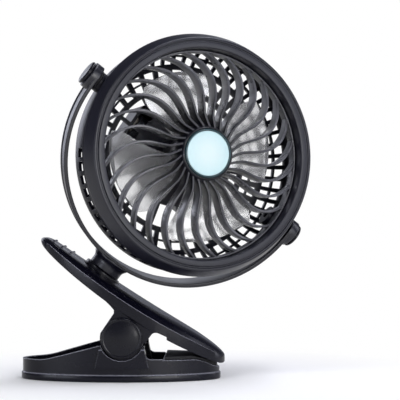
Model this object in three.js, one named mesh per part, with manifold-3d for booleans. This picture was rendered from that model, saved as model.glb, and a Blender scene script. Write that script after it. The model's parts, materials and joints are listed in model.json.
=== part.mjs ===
// Clip-on table fan: a spring clip, a swivelling yoke and a tilting round head with a swirl grille.
// Millimetres, +Z up. The origin is on the flat underside of the lower jaw, below the clip's pivot.
// +X points to the clip's mouth and +Y to the back. The fan is modelled with the mouth closed.

import * as THREE from 'three';
import { mergeVertices } from 'three/addons/utils/BufferGeometryUtils.js';
import Module from 'manifold-3d';

const wasm = await Module();
wasm.setup();

// Driving dimensions

const seatGap = 0.3; // between pieces that seat on each other
const overrun = 2; // how far a cutting solid runs past the face it cuts
const smallestDetail = 0.02; // slivers left by joins and cuts below this are taken out

const pose = { slope: 38, swivel: 17.8, tilt: -15.4 }; // degrees

const facets = {
  ring: 44,
  hoop: 56,
  cage: 36,
  round: 22,
  small: 12,
  yoke: 28,
  jaw: 16,
  plan: 32,
  coil: 8,
  wire: 5,
};

const clip = {
  noseReach: 62.7, // from the pivot to the base's rounded nose
  tipReach: 58.3, // from the pivot to the base's mouth end
  halfWidth: 27,
  pivotHeight: 26,
  wall: 2.8,
  floor: 2.6,
  runningGap: 0.4,
};

const base = {
  skirtHeight: 4,
  skirtStep: 0.7,
  noseSideReach: 58, // where the nose curve leaves the long side
  noseHeight: 12.2,
  noseFlat: 15, // length of the level rim behind the nose
  shoulderX: 13.4,
  shoulderHeight: 21.4,
  notchRadius: 4,
  notchHeight: 13.2,
  deckStartX: 24,
  deckHeight: 12.6,
  deckThickness: 2.4,
  deckSlope: 13.3, // length of the deck's slope at the mouth end
  tipHeight: 6.4,
  panelHeight: 8,
  panelRise: 0.8,
  panelSpread: 2.4,
};

const ear = { radius: 10.4, thickness: 3, inset: 4.8 };

const cheek = {
  radius: 13,
  thickness: 2.6,
  inset: 0.35,
  turnBack: 13, // degrees by which the round part is turned towards the handle
  reachShare: 0.95, // how far it goes towards the handle, as a share of its radius
  notchShare: 0.36, // foot of the notch over the ear, as shares of the radius
  notchFootShare: 1.13,
  notchTopShare: 1.3,
};

const pivot = { pinRadius: 2.5, bore: 0.3, capRadius: 12.1, capHeight: 2.6, capRound: 1.1 };

const jaw = {
  handleReach: 51,
  overhang: 2.7, // past the base's mouth end
  midHeight: 45.2, // height of the side edge half way along
  fall: 35.7, // drop of the side edge from half way to the mouth end, before the sag
  sag: 5,
  tipDroop: 1.9,
  droopStartShare: 0.6,
  endHalfWidth: 4,
  handleDepth: 6.6, // of the side walls
  mouthDepth: 8.4,
  handlePowerShare: 0.3, // how fast the side walls run out towards each end
  mouthPowerShare: 0.5,
  crown: 5.8,
  crownSlope: 12,
  shoulderShares: [0.35, 0.66], // round of the crown's edge, across and up
  top: 2.6,
  padRecess: 1.9,
  bulkhead: 3.4, // solid wall between the hollow and the pad
};

const arch = {
  footX: 14.1,
  footHeight: 23,
  kneeX: 15.9,
  kneeHeight: 25.9,
  shoulderX: 18.3,
  shoulderHeight: 28.9,
  peakX: 20.6,
  peakHeight: 29.2,
  endX: 26.4,
  endHeight: 26.5,
};

const pad = {
  thickness: 1.7,
  inset: 1.2,
  flatInset: 3.5, // of the flat's end from the start of the deck's slope
  lipInset: 6.7,
  lipRise: 2.1,
  endInset: 1.7,
  endRise: 2.4,
};
const padRibs = { count: 3, depth: 0.9 };

const spring = { wire: 1.4, meanRadius: 4.4, turns: 6, pitch: 1.95, upperLeg: 48 };
const springAngle = { lower: -65, upper: 40 }; // degrees round the pivot where each leg leaves the coil
const springSeat = { halfWidth: 2.4, halfLength: 2.2 };

const grip = { count: 3, radius: 0.9, rise: 0.7, pitch: 5.2, startShare: 0.075, halfLengthShare: 0.6 };

const neck = {
  seatX: -14.9,
  seatDrop: 1.4, // depth of the round seat below the crown, at its centre
  seatRadius: 13.1,
  bossWall: 1.5,
  bossDepth: 3.8,
  ringRadius: 12.1,
  ringHeight: 3,
  stubRadius: 10.3,
  stubHeight: 6.8,
  flare: 1.9,
  stemRadius: 5.8,
  washerRadius: 8,
  washerThickness: 1,
};

const screw = { radius: 1.9, headRadius: 3.5, headHeight: 2.2, slotWidth: 0.8, slotDepth: 0.9 };

const ring = {
  outerRadius: 73.4,
  bandWidth: 10.05, // from the rim to the bore
  frontInset: 3.3, // of the lip, in from the rim
  face: 21.6, // height of the flat front band over the tilt axis
  widest: 12.4,
  back: 11.4,
  wall: 2.2,
  grooveInset: 5.7,
  grooveWidth: 1,
  grooveDepth: 1.1,
  lipDrop: 0.4,
  edgeRound: 0.6,
  channelDepth: 7,
};

const grille = {
  vanes: 28,
  vaneSteps: 5,
  vaneThickness: 1.45,
  hubRadius: 18.6,
  hubFront: 24.6,
  hubBack: 13,
  hubTopRadius: 15.9,
  hoopWidth: 1.15,
  hoopFront: 13.8,
  hoopBack: 6.8,
  flangeWidth: 3.2,
  flangeThickness: 1.6,
  frontRise: 25.4, // pull of the front edge's curve between hub and hoop
  frontStart: 22.7,
  backRise: 14.2,
  backStart: 13.6,
  bendRadiusShare: 0.67,
};
const swirl = {
  hubLean: 11, // degrees
  hubLeanEnd: 25.5,
  rimSweep: 20, // degrees
  rimSweepStart: 32,
  power: 2.2,
};

const badge = { radius: 14.56, rimWidth: 0.85, recess: 2.2, proud: 0.4, dome: 0.35 };

const cage = { // its insets are measured in from the ring's rim
  flangeInset: 0.4,
  flangeHeight: 2.6,
  barrelInset: 1.4,
  wall: 2.2,
  waistHeight: -9,
  waistInset: 2.1,
  bellyHeight: -16,
  bellyInset: 4,
  cornerHeight: -22,
  cornerInset: 7.8,
  faceInset: 14.9,
  faceHeight: -27.5,
  plateInset: 27.8,
  back: -30.5,
};
const slots = { count: 56, top: 5.5, bottom: -3, depth: 7, openShare: 0.64 };
const slotArcs = [[8, 172], [222, 318]]; // degrees round the head, from the tilt axis
const lattice = { count: 36, outerEdge: 1.7, innerEdge: 1.2, rib: 1.2, openShare: 0.66 };
const spoke = { count: 14, barWidth: 2.2, inner: 29.5, outerEdge: 2 };

const boss = { radius: 6.2, depth: 12, washer: 1, washerRadius: 6.4 };

const yoke = {
  clearance: 2.6,
  thickness: 2.5,
  width: 17,
  lip: 0.7,
  lipWidth: 1.6,
  drop: 2.4, // of the half hoop's centre below the tilt axis
  eyeRadius: 8.4,
  eyeLength: 5.4,
  eyeChamfer: 0.5,
};

const knob = { radius: 7.7, height: 1.8, groove: 0.5, grooveDepth: 1, chamfer: 0.9 };

const blade = {
  count: 4,
  hubRadius: 12.5,
  hubFront: 7.5,
  hubBack: -6.2,
  hubWall: 1.7,
  tipInset: 10.85, // in from the ring's bore
  mid: 0.8,
  rootRise: 5.4,
  tipRise: 6.8,
  camber: 1.2,
  thickness: 1.4,
  rootSpan: 60,
  tipSpan: 68,
  tipShare: 0.84, // of its span that is left at the rounded tip
  sweep: 12,
  radialSteps: 4,
  chordSteps: 4,
};

const motor = {
  radius: 12,
  front: -8.6,
  back: -24.4,
  noseRadius: 3.2,
  nose: 1.2,
  capHeight: 2,
  shaftRadius: 1,
  cupWall: 2,
  cupTop: -14,
  wireHole: 2.4,
};

const pack = {
  endRoom: 4.5, // past each end of the cell
  top: 18,
  bottom: -21,
  frontRoom: 1.8, // between the cell and the cage
  wall: 2,
  corner: 5,
  cellRadius: 9.1,
  cellLength: 65,
  cellNub: 1,
  cellY: 3.5,
  contactSize: 10,
  contactThickness: 0.5,
};

const door = { halfHeight: 11.2, endInset: 3, thickness: 1.7, rail: 1.5, railLip: 0.9, grip: 3 };

const board = { y: -13.2, thickness: 1.2, halfLength: 17, margin: 1.5 };
const dial = {
  radius: 7.4,
  height: 5,
  ribs: 18,
  ribDepth: 0.6,
  chamfer: 1.1,
  markWidth: 1.1,
  stemRadius: 1.8,
  potSize: 8.5,
  potHeight: 3.4,
};
const socket = { x: 12.5, width: 8, height: 3.2, shell: 0.5, tongueHeight: 0.9, tongueInset: 1.6, floor: 1 };
const lamp = { x: -12, radius: 1.5, bodyRadius: 2 };
const post = { x: 20.5, y: -15.4, radius: 3, screwRadius: 1.2, headRadius: 2.3, headHeight: 1.8 };

// Places worked out from the driving dimensions

const turn = THREE.MathUtils.degToRad;
const ringBore = ring.outerRadius - ring.bandWidth;
const ringFront = ring.outerRadius - ring.frontInset;
const grooveMiddle = ring.outerRadius - ring.grooveInset;
const flangeRadius = ring.outerRadius - cage.flangeInset;
const barrelRadius = ring.outerRadius - cage.barrelInset;
const waistRadius = ring.outerRadius - cage.waistInset;
const bellyRadius = ring.outerRadius - cage.bellyInset;
const cornerRadius = ring.outerRadius - cage.cornerInset;
const faceRadius = ring.outerRadius - cage.faceInset;
const plateRadius = ring.outerRadius - cage.plateInset;
const bossInnerX = barrelRadius - boss.depth;
const bladeTip = ringBore - blade.tipInset;
const yokeInner = ring.outerRadius + yoke.clearance;
const yokeOuter = yokeInner + yoke.thickness;
const baseMidX = (clip.tipReach - clip.noseReach) / 2;
const baseHalfLength = (clip.tipReach + clip.noseReach) / 2;
const deckFlatEndX = clip.tipReach - base.deckSlope;
const jawTip = clip.tipReach + jaw.overhang;
const padStartX = arch.endX + seatGap;
const jawMidX = (jawTip - jaw.handleReach) / 2;
const jawHalfLength = (jawTip + jaw.handleReach) / 2;
const wireRadius = spring.wire / 2;

// Height of the upper jaw's side edge at x, a long line that sags a little and droops at the mouth.
function edgeHeight(x) {
  const along = (x - jawMidX) / jawHalfLength;
  const past = Math.max(0, along - jaw.droopStartShare) / (1 - jaw.droopStartShare);
  return jaw.midHeight - jaw.fall * along + jaw.sag * along ** 2 - jaw.tipDroop * past ** 2;
}

// Swell of the boat-shaped outline at x: 1 half way along and 0 at both ends.
function swell(x, mid, halfLength) {
  const along = Math.min(1, Math.abs(x - mid) / halfLength);
  return Math.sqrt(1 - along ** 2);
}

function jawSwell(x) {
  return swell(x, jawMidX, jawHalfLength);
}

function crownHeight(x) {
  return jaw.crown * jawSwell(x);
}

function jawUnderside(x) {
  const alongShare = (x + jaw.handleReach) / (2 * jawHalfLength);
  const depth = jaw.handleDepth + (jaw.mouthDepth - jaw.handleDepth) * alongShare;
  const power = x < jawMidX ? jaw.handlePowerShare : jaw.mouthPowerShare;
  return edgeHeight(x) - depth * jawSwell(x) ** power;
}

const neckLean = turn(pose.slope);
const neckUp = new THREE.Vector3(Math.sin(neckLean), 0, Math.cos(neckLean));
const seatHeight = edgeHeight(neck.seatX) + crownHeight(neck.seatX) - neck.seatDrop;
const neckSeat = new THREE.Vector3(neck.seatX, 0, seatHeight);
const ringTop = seatGap + neck.ringHeight;
const stubBottom = ringTop + seatGap;
const strapBottom = yokeOuter + yoke.drop; // below the tilt axis
const tiltReach = stubBottom + neck.stubHeight + strapBottom;
const tiltCentre = neckSeat.clone().addScaledVector(neckUp, tiltReach);

// Solids from three.js shapes

function solidOf(geometry) {
  const bare = new THREE.BufferGeometry();
  bare.setAttribute('position', geometry.getAttribute('position'));
  bare.setIndex(geometry.index);
  const merged = mergeVertices(bare);
  const places = merged.getAttribute('position');
  const corners = merged.index.array;
  const kept = [];
  let volume = 0;
  for (let i = 0; i < corners.length; i += 3) {
    const [a, b, c] = [corners[i], corners[i + 1], corners[i + 2]];
    if (a === b || b === c || c === a) continue;
    const [p, q, r] = [a, b, c].map((at) => new THREE.Vector3().fromBufferAttribute(places, at));
    volume += p.dot(q.cross(r));
    kept.push([a, b, c]);
  }
  const ordered = volume < 0 ? kept.map(([a, b, c]) => [a, c, b]) : kept;
  const mesh = new wasm.Mesh({
    numProp: 3,
    vertProperties: Float32Array.from(places.array),
    triVerts: Uint32Array.from(ordered.flat()),
  });
  return new wasm.Manifold(mesh);
}

function join(...solids) {
  return solids.reduce((whole, solid) => whole.add(solid));
}

function cut(solid, ...tools) {
  return tools.reduce((left, tool) => left.subtract(tool), solid);
}

function placed(geometry, { along = 'z', at = [0, 0, 0], spin = 0 } = {}) {
  geometry.rotateZ(spin);
  if (along === 'x') geometry.rotateY(Math.PI / 2);
  if (along === 'y') geometry.rotateX(-Math.PI / 2);
  return solidOf(geometry.translate(...at));
}

// Turned solid from a profile of [radius, height] points.
function turned(profile, steps, place) {
  const points = profile.map(([radius, height]) => new THREE.Vector2(radius, height));
  const geometry = new THREE.LatheGeometry(points, steps);
  return placed(geometry.rotateX(Math.PI / 2), place);
}

// Turned ring: the profile closes on itself.
function hoop(profile, steps, place) {
  return turned([...profile, profile[0]], steps, place);
}

// Round bar from one height to another, with an optional smaller radius at its top end.
function bar(radius, from, to, { steps = facets.round, topRadius = radius, ...place } = {}) {
  return turned([[0, from], [radius, from], [topRadius, to], [0, to]], steps, place);
}

function tube(inner, outer, from, to, { steps = facets.round, ...place } = {}) {
  return hoop([[inner, from], [outer, from], [outer, to], [inner, to]], steps, place);
}

function block(x, y, z) {
  const geometry = new THREE.BoxGeometry(x[1] - x[0], y[1] - y[0], z[1] - z[0]);
  return solidOf(geometry.translate((x[0] + x[1]) / 2, (y[0] + y[1]) / 2, (z[0] + z[1]) / 2));
}

function shapeOf(points) {
  return new THREE.Shape(points.map(([x, y]) => new THREE.Vector2(x, y)));
}

// Prism of an outline seen from above, from one height to another.
function prism(shape, from, to) {
  const geometry = new THREE.ExtrudeGeometry(shape, { depth: to - from, bevelEnabled: false });
  return solidOf(geometry.translate(0, 0, from));
}

// Slab of an outline seen from the side, [x, z] points, between two places along Y.
function slab(shape, from, to) {
  const geometry = new THREE.ExtrudeGeometry(shape, { depth: to - from, bevelEnabled: false });
  return solidOf(geometry.rotateX(Math.PI / 2).translate(0, to, 0));
}

// Both mirror-image slabs of a pair of side plates, given by their distance from the middle.
function slabPair(shape, inner, outer) {
  return join(slab(shape, inner, outer), slab(shape, -outer, -inner));
}

function roundOutline(x, z, radius, steps = facets.round) {
  const points = [];
  for (let i = 0; i < steps; i += 1) {
    const angle = (i / steps) * 2 * Math.PI;
    points.push([x + radius * Math.cos(angle), z + radius * Math.sin(angle)]);
  }
  return points;
}

// Solid skin over a row of sections, each a ring of as many points, with flat ends.
function loft(sections) {
  const size = sections[0].length;
  const places = sections.flat().flatMap((point) => [point.x, point.y, point.z]);
  const faces = [];
  for (let s = 0; s + 1 < sections.length; s += 1) {
    for (let k = 0; k < size; k += 1) {
      const next = (k + 1) % size;
      const [a, b] = [s * size + k, s * size + next];
      const [c, d] = [a + size, b + size];
      faces.push(a, b, d, a, d, c);
    }
  }
  const last = (sections.length - 1) * size;
  for (let k = 1; k + 1 < size; k += 1) {
    faces.push(0, k + 1, k, last, last + k, last + k + 1);
  }
  const geometry = new THREE.BufferGeometry();
  geometry.setAttribute('position', new THREE.Float32BufferAttribute(places, 3));
  geometry.setIndex(faces);
  return solidOf(geometry);
}

// Materials

function plastic(color, roughness = 0.42) {
  return new THREE.MeshStandardMaterial({ color, roughness, metalness: 0 });
}

function metal(color, roughness = 0.3) {
  return new THREE.MeshStandardMaterial({ color, roughness, metalness: 1 });
}

const blackPlastic = () => plastic(0x1c1d24);
const glossBlack = () => plastic(0x14151a, 0.22);
const smokeGrey = () => plastic(0x6f727c, 0.2);
const rubber = () => plastic(0x17171a, 0.85);
const steel = () => metal(0xb9bcc2);
const darkSteel = () => metal(0x54575f, 0.35);
const paleCyan = () => plastic(0xcff1f6, 0.35);
const deepTeal = () => plastic(0x0f3d44, 0.3);
const boardGreen = () => plastic(0x1f6b3c, 0.5);
const cellWrap = () => plastic(0x2f7dc0, 0.4);

function piece(name, solid, material) {
  const { vertProperties, triVerts } = solid.simplify(smallestDetail).getMesh();
  const geometry = new THREE.BufferGeometry();
  geometry.setAttribute('position', new THREE.Float32BufferAttribute(vertProperties, 3));
  geometry.setIndex(new THREE.Uint32BufferAttribute(triVerts, 1));
  geometry.computeVertexNormals();
  const mesh = new THREE.Mesh(geometry, material);
  mesh.name = name;
  return mesh;
}

// Lower jaw: a hollow boat with a deck under the mouth and two ears for the pivot

// Plan outline of the base, drawn in by an inset: long elliptic sides and a flatter, creased nose.
function basePlan(inset) {
  const half = clip.halfWidth - inset;
  const length = baseHalfLength - inset;
  const nose = clip.noseReach - inset;
  const noseSide = base.noseSideReach - inset;
  const start = Math.acos(-(noseSide + baseMidX) / length);
  const points = [];
  for (let i = 0; i <= facets.plan; i += 1) {
    const angle = start - (i / facets.plan) * 2 * start;
    points.push([baseMidX + length * Math.cos(angle), half * Math.sin(angle)]);
  }
  const last = points[points.length - 1];
  const crease = new THREE.Vector2(last[0], last[1]);
  const pull = new THREE.Vector2(-nose - (nose + last[0]), 0);
  const noseCurve = new THREE.QuadraticBezierCurve(crease, pull, new THREE.Vector2(last[0], -last[1]));
  const noseSteps = facets.small / 2;
  for (let i = 1; i < noseSteps; i += 1) {
    const point = noseCurve.getPoint(i / noseSteps);
    points.push([point.x, point.y]);
  }
  return shapeOf(points);
}

// Side outline of the base, from the nose over the shoulder and the relief notch to the mouth's lip.
function baseSide() {
  const noseFlatX = -clip.noseReach + base.noseFlat;
  const notchStart = base.shoulderX + base.notchRadius;
  const points = [
    [-clip.noseReach - overrun, 0],
    [-clip.noseReach - overrun, base.noseHeight],
    [noseFlatX, base.noseHeight],
    [-base.shoulderX, base.shoulderHeight],
    [base.shoulderX, base.shoulderHeight],
  ];
  const notchSteps = facets.small / 4;
  for (let i = 0; i <= notchSteps; i += 1) {
    const angle = (i / notchSteps) * (Math.PI / 2);
    const x = notchStart - base.notchRadius * Math.cos(angle);
    points.push([x, base.notchHeight + base.notchRadius * (1 - Math.sin(angle))]);
  }
  points.push([base.deckStartX, base.notchHeight]);
  points.push([base.deckStartX, base.deckHeight]);
  points.push([deckFlatEndX, base.deckHeight]);
  points.push([clip.tipReach, base.tipHeight]);
  points.push([clip.tipReach + overrun, base.tipHeight]);
  points.push([clip.tipReach + overrun, 0]);
  return shapeOf(points);
}

// Side outline of the base's hollow: open upwards up to the notch, and roofed by the deck beyond it.
function baseHollowSide() {
  const roof = base.deckHeight - base.deckThickness;
  return shapeOf([
    [-clip.noseReach, clip.floor],
    [deckFlatEndX, clip.floor],
    [deckFlatEndX, roof],
    [base.deckStartX + base.deckThickness, roof],
    [base.deckStartX, roof],
    [base.deckStartX, base.shoulderHeight + overrun],
    [-clip.noseReach, base.shoulderHeight + overrun],
  ]);
}

function earOutline() {
  const points = [];
  const steps = facets.round / 2;
  for (let i = 0; i <= steps; i += 1) {
    const angle = (i / steps) * Math.PI;
    points.push([ear.radius * Math.cos(angle), clip.pivotHeight + ear.radius * Math.sin(angle)]);
  }
  const foot = ear.radius + base.panelSpread;
  return shapeOf([...points, [-foot, clip.floor / 2], [foot, clip.floor / 2]]);
}

function panelOutline() {
  const top = base.shoulderHeight - base.panelSpread;
  const foot = base.shoulderX + base.panelSpread;
  return shapeOf([
    [-foot, base.panelHeight],
    [foot, base.panelHeight],
    [base.shoulderX, top],
    [-base.shoulderX, top],
  ]);
}

const earOuter = clip.halfWidth - ear.inset;
const earInner = earOuter - ear.thickness;

function lowerJaw() {
  const reach = clip.halfWidth + overrun;
  const skirt = prism(basePlan(0), 0, base.skirtHeight);
  const hull = prism(basePlan(base.skirtStep), 0, base.shoulderHeight);
  const outside = join(skirt, hull.intersect(slab(baseSide(), -reach, reach)));
  const hollowPlan = prism(basePlan(clip.wall), clip.floor, base.shoulderHeight + overrun);
  const hollow = hollowPlan.intersect(slab(baseHollowSide(), -reach, reach));
  const ears = slabPair(earOutline(), earInner, earOuter);
  const web = slabPair(panelOutline(), earOuter - overrun / 2, clip.halfWidth + base.panelRise);
  const socketRadius = cheek.radius + clip.runningGap;
  const socketShape = shapeOf(roundOutline(0, clip.pivotHeight, socketRadius));
  const sockets = slabPair(socketShape, earOuter, clip.halfWidth + overrun);
  const pinBore = bar(pivot.pinRadius + pivot.bore, -reach, reach, {
    along: 'y',
    at: [0, 0, clip.pivotHeight],
    steps: facets.small,
  });
  return cut(join(cut(outside, hollow), ears, web), sockets, pinBore);
}

// Rubber pad on the deck, with a ribbed lip at the mouth
function lowerPad() {
  const under = base.deckHeight + seatGap;
  const flatTop = under + pad.thickness;
  const startX = base.deckStartX + pad.inset;
  const slopeStart = deckFlatEndX;
  const drop = (base.deckHeight - base.tipHeight) / (clip.tipReach - slopeStart);
  const deckAt = (x) => under - drop * (x - slopeStart);
  const endX = clip.tipReach - pad.endInset;
  const lipX = clip.tipReach - pad.lipInset;
  const grooveX = endX - padRibs.depth;
  const foot = deckAt(grooveX);
  const points = [
    [startX, under],
    [slopeStart, under],
    [grooveX, foot],
  ];
  const ribHeight = (deckAt(endX) + pad.endRise - foot) / (2 * padRibs.count);
  for (let i = 0; i < padRibs.count; i += 1) {
    const ribFoot = foot + 2 * i * ribHeight;
    points.push([endX, ribFoot + ribHeight / 2]);
    points.push([grooveX, ribFoot + 1.5 * ribHeight]);
  }
  points.push([lipX, deckAt(lipX) + pad.lipRise]);
  points.push([slopeStart - pad.flatInset, flatTop]);
  points.push([startX, flatTop]);
  const side = slab(shapeOf(points), -clip.halfWidth, clip.halfWidth);
  return side.intersect(prism(basePlan(base.skirtStep + pad.inset), 0, flatTop + overrun));
}

// Upper jaw: handle, crowned shell, cheeks round the pivot and the boss under the neck

// Sections of the jaw's body from the handle to the mouth, drawn in by an inset.
function jawSections({ inset = 0, drop = 0, open = 0, toX = jawTip }) {
  const sections = [];
  const half = clip.halfWidth;
  const startAngle = Math.asin(jaw.endHalfWidth / half);
  for (let i = 0; i <= facets.jaw; i += 1) {
    const angle = startAngle + (i / facets.jaw) * (Math.PI - 2 * startAngle);
    const along = -Math.cos(angle);
    const x = Math.min(toX, jawMidX + (jawHalfLength - inset) * along);
    const width = half * jawSwell(x) - inset;
    if (width < jaw.endHalfWidth / 2) continue;
    if (sections.length && x <= sections[sections.length - 1][0].x) continue;
    const slope = Math.min(jaw.crownSlope * jawSwell(x), width / 2);
    const edge = edgeHeight(x) - drop;
    const top = edge + crownHeight(x);
    const under = jawUnderside(x) - open;
    const [acrossShare, upShare] = jaw.shoulderShares;
    const shoulderY = width - slope * acrossShare;
    const shoulderZ = edge + crownHeight(x) * upShare;
    sections.push([
      new THREE.Vector3(x, -width, under),
      new THREE.Vector3(x, -width, edge),
      new THREE.Vector3(x, -shoulderY, shoulderZ),
      new THREE.Vector3(x, -width + slope, top),
      new THREE.Vector3(x, width - slope, top),
      new THREE.Vector3(x, shoulderY, shoulderZ),
      new THREE.Vector3(x, width, edge),
      new THREE.Vector3(x, width, under),
    ]);
  }
  return sections;
}

// Outline of the cheek: half a turn round the pivot, past the relief arch and back along the shell's edge.
function cheekOutline() {
  const points = [];
  const steps = facets.round / 2;
  const startAngle = Math.PI - turn(cheek.turnBack);
  for (let i = 0; i <= steps; i += 1) {
    const angle = startAngle + (i / steps) * Math.PI;
    points.push([cheek.radius * Math.cos(angle), clip.pivotHeight + cheek.radius * Math.sin(angle)]);
  }
  const handleX = -cheek.radius * cheek.reachShare;
  const notchX = -cheek.radius * cheek.notchShare;
  points.push([arch.footX, arch.footHeight]);
  points.push([arch.endX - seatGap, arch.footHeight]);
  points.push([arch.endX - seatGap, edgeHeight(arch.endX) - jaw.top / 2]);
  points.push([handleX, edgeHeight(handleX) - jaw.top / 2]);
  points.push([handleX, jawUnderside(handleX) + 2 * cheek.inset]);
  points.push([notchX, clip.pivotHeight + cheek.radius * cheek.notchTopShare]);
  points.push([notchX, clip.pivotHeight + cheek.radius * cheek.notchFootShare]);
  return shapeOf(points);
}

// Outline of the relief arch, open downwards, which is cut through both side walls.
function archOutline() {
  return shapeOf([
    [arch.footX, arch.footHeight - overrun],
    [arch.footX, arch.footHeight],
    [arch.kneeX, arch.kneeHeight],
    [arch.shoulderX, arch.shoulderHeight],
    [arch.peakX, arch.peakHeight],
    [arch.endX, arch.endHeight],
    [arch.endX, arch.footHeight - overrun],
  ]);
}

function jawPlan(inset) {
  const points = [];
  for (let i = 0; i < facets.plan; i += 1) {
    const angle = (i / facets.plan) * 2 * Math.PI;
    const x = jawMidX + (jawHalfLength - inset) * Math.cos(angle);
    points.push([x, (clip.halfWidth - inset) * Math.sin(angle)]);
  }
  return shapeOf(points);
}

function cheeks() {
  const reach = clip.halfWidth + overrun;
  const top = edgeHeight(-cheek.radius) + overrun;
  const inside = prism(jawPlan(cheek.inset + cheek.thickness), -overrun, top + overrun);
  const wall = cut(prism(jawPlan(cheek.inset), 0, top), inside);
  return wall.intersect(slab(shapeOf(cheekOutline().getPoints().map(({ x, y }) => [x, y])), -reach, reach));
}

// Places a solid made along the neck's axis, with zero on the seat in the crown of the jaw.
function onNeck(profile, steps = facets.round) {
  const geometry = new THREE.LatheGeometry(
    profile.map(([radius, height]) => new THREE.Vector2(radius, height)),
    steps,
  );
  geometry.rotateX(Math.PI / 2).rotateY(neckLean);
  return solidOf(geometry.translate(neckSeat.x, neckSeat.y, neckSeat.z));
}

const legUpper = turn(springAngle.upper);
const legLower = turn(springAngle.lower);
const legDrop = clip.pivotHeight + spring.meanRadius * Math.sin(legLower) - clip.floor - seatGap - wireRadius;
const lowerLeg = legDrop / Math.cos(legLower); // down to the tray's floor

// Point on the upper leg of the spring, by its distance from the coil.
function upperLegPoint(distance) {
  const x = spring.meanRadius * Math.cos(legUpper) - distance * Math.sin(legUpper);
  const z = clip.pivotHeight + spring.meanRadius * Math.sin(legUpper) + distance * Math.cos(legUpper);
  return [x, z];
}

const coilHalfWidth = ((spring.turns + (springAngle.upper - springAngle.lower) / 360) * spring.pitch) / 2;

function springRib() {
  const [endX, endZ] = upperLegPoint(spring.upperLeg - springSeat.halfLength);
  const lift = (wireRadius + seatGap) / Math.sin(legUpper);
  const slope = 1 / Math.tan(legUpper);
  const left = endX - springSeat.halfLength;
  const right = endX + springSeat.halfLength;
  const foot = endZ + lift;
  const roof = (x) => edgeHeight(x) + crownHeight(x) - jaw.top / 2;
  const outline = shapeOf([
    [left, foot + slope * springSeat.halfLength],
    [right, foot - slope * springSeat.halfLength],
    [right, roof(right)],
    [left, roof(left)],
  ]);
  return slab(outline, coilHalfWidth - springSeat.halfWidth, coilHalfWidth + springSeat.halfWidth);
}

function gripRibs() {
  const ribs = [];
  for (let i = 0; i < grip.count; i += 1) {
    const x = -jaw.handleReach + jawHalfLength * 2 * grip.startShare + i * grip.pitch;
    const half = clip.halfWidth * jawSwell(x) * grip.halfLengthShare;
    const height = edgeHeight(x) + crownHeight(x) + grip.rise - grip.radius;
    ribs.push(bar(grip.radius, -half, half, { along: 'y', at: [x, 0, height], steps: facets.small / 2 }));
  }
  return ribs;
}

function upperJaw() {
  const reach = clip.halfWidth + overrun;
  const body = loft(jawSections({}));
  const hollowEnd = arch.endX - jaw.bulkhead;
  const hollow = loft(jawSections({ inset: clip.wall, drop: jaw.top, open: overrun, toX: hollowEnd }));
  const padRoom = loft(jawSections({ inset: clip.wall, drop: 0, open: overrun }));
  const recessFloor = padRoofOutline(jaw.padRecess, overrun);
  const recess = padRoom.intersect(slab(recessFloor, -reach, reach));
  const bossRadius = neck.seatRadius + neck.bossWall;
  const discRadius = neck.seatRadius - seatGap;
  const bossSolid = onNeck([
    [0, -neck.bossDepth],
    [bossRadius, -neck.bossDepth],
    [bossRadius, -neck.bossWall],
    [discRadius, -neck.bossWall],
    [discRadius, overrun],
    [0, overrun],
  ]);
  const seatTop = neck.ringHeight + overrun;
  const seatRoom = onNeck([[0, 0], [neck.seatRadius, 0], [neck.seatRadius, seatTop], [0, seatTop]]);
  const boreRadius = neck.stemRadius + seatGap;
  const boreBottom = -neck.bossDepth - overrun;
  const stemBore = onNeck([[0, boreBottom], [boreRadius, boreBottom], [boreRadius, ringTop], [0, ringTop]]);
  const pinBore = bar(pivot.pinRadius + pivot.bore, -reach, reach, {
    along: 'y',
    at: [0, 0, clip.pivotHeight],
    steps: facets.small,
  });
  const shell = cut(body, hollow, recess);
  const archRoom = slab(archOutline(), -reach, reach);
  const whole = join(shell, cheeks(), bossSolid, springRib(), ...gripRibs());
  return cut(whole, seatRoom, stemBore, pinBore, archRoom);
}

// Outline between the jaw's underside raised by two heights, over the length of the mouth pad.
function padRoofOutline(high, low) {
  const endX = jawTip - jaw.endHalfWidth;
  const points = [];
  const steps = facets.small / 2;
  for (let i = 0; i <= steps; i += 1) {
    const x = padStartX + (i / steps) * (endX - padStartX);
    points.push([x, jawUnderside(x) + high]);
  }
  for (let i = steps; i >= 0; i -= 1) {
    const x = padStartX + (i / steps) * (endX - padStartX);
    points.push([x, jawUnderside(x) - low]);
  }
  return shapeOf(points);
}

function upperPad() {
  const reach = clip.halfWidth + overrun;
  const room = loft(jawSections({ inset: clip.wall + seatGap, drop: 0, open: overrun }));
  const band = slab(padRoofOutline(jaw.padRecess - seatGap, 0), -reach, reach);
  const trimX = [padStartX + seatGap, jawTip - jaw.endHalfWidth - seatGap];
  const height = [0, edgeHeight(padStartX)];
  return room.intersect(band).intersect(block(trimX, [-reach, reach], height));
}

// Pivot pin, its two caps and the torsion spring

function pivotPin() {
  const half = clip.halfWidth + base.panelRise;
  return bar(pivot.pinRadius, -half, half, {
    along: 'y',
    at: [0, 0, clip.pivotHeight],
    steps: facets.small,
  });
}

function pivotCap(side) {
  const foot = clip.halfWidth + seatGap;
  const pocket = clip.halfWidth + base.panelRise + seatGap;
  const top = foot + pivot.capHeight;
  const profile = [
    [0, pocket],
    [pivot.pinRadius + seatGap, pocket],
    [pivot.pinRadius + seatGap, foot],
    [pivot.capRadius, foot],
    [pivot.capRadius, top - pivot.capRound],
    [pivot.capRadius - pivot.capRound / 3, top - pivot.capRound / 3],
    [pivot.capRadius - pivot.capRound, top],
    [pivot.capRadius / 2, top + pivot.capRound / 3],
    [0, top + pivot.capRound / 2],
  ];
  const flipped = profile.map(([radius, height]) => [radius, height * side]);
  return turned(flipped, facets.round, { along: 'y', at: [0, 0, clip.pivotHeight] });
}

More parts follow.
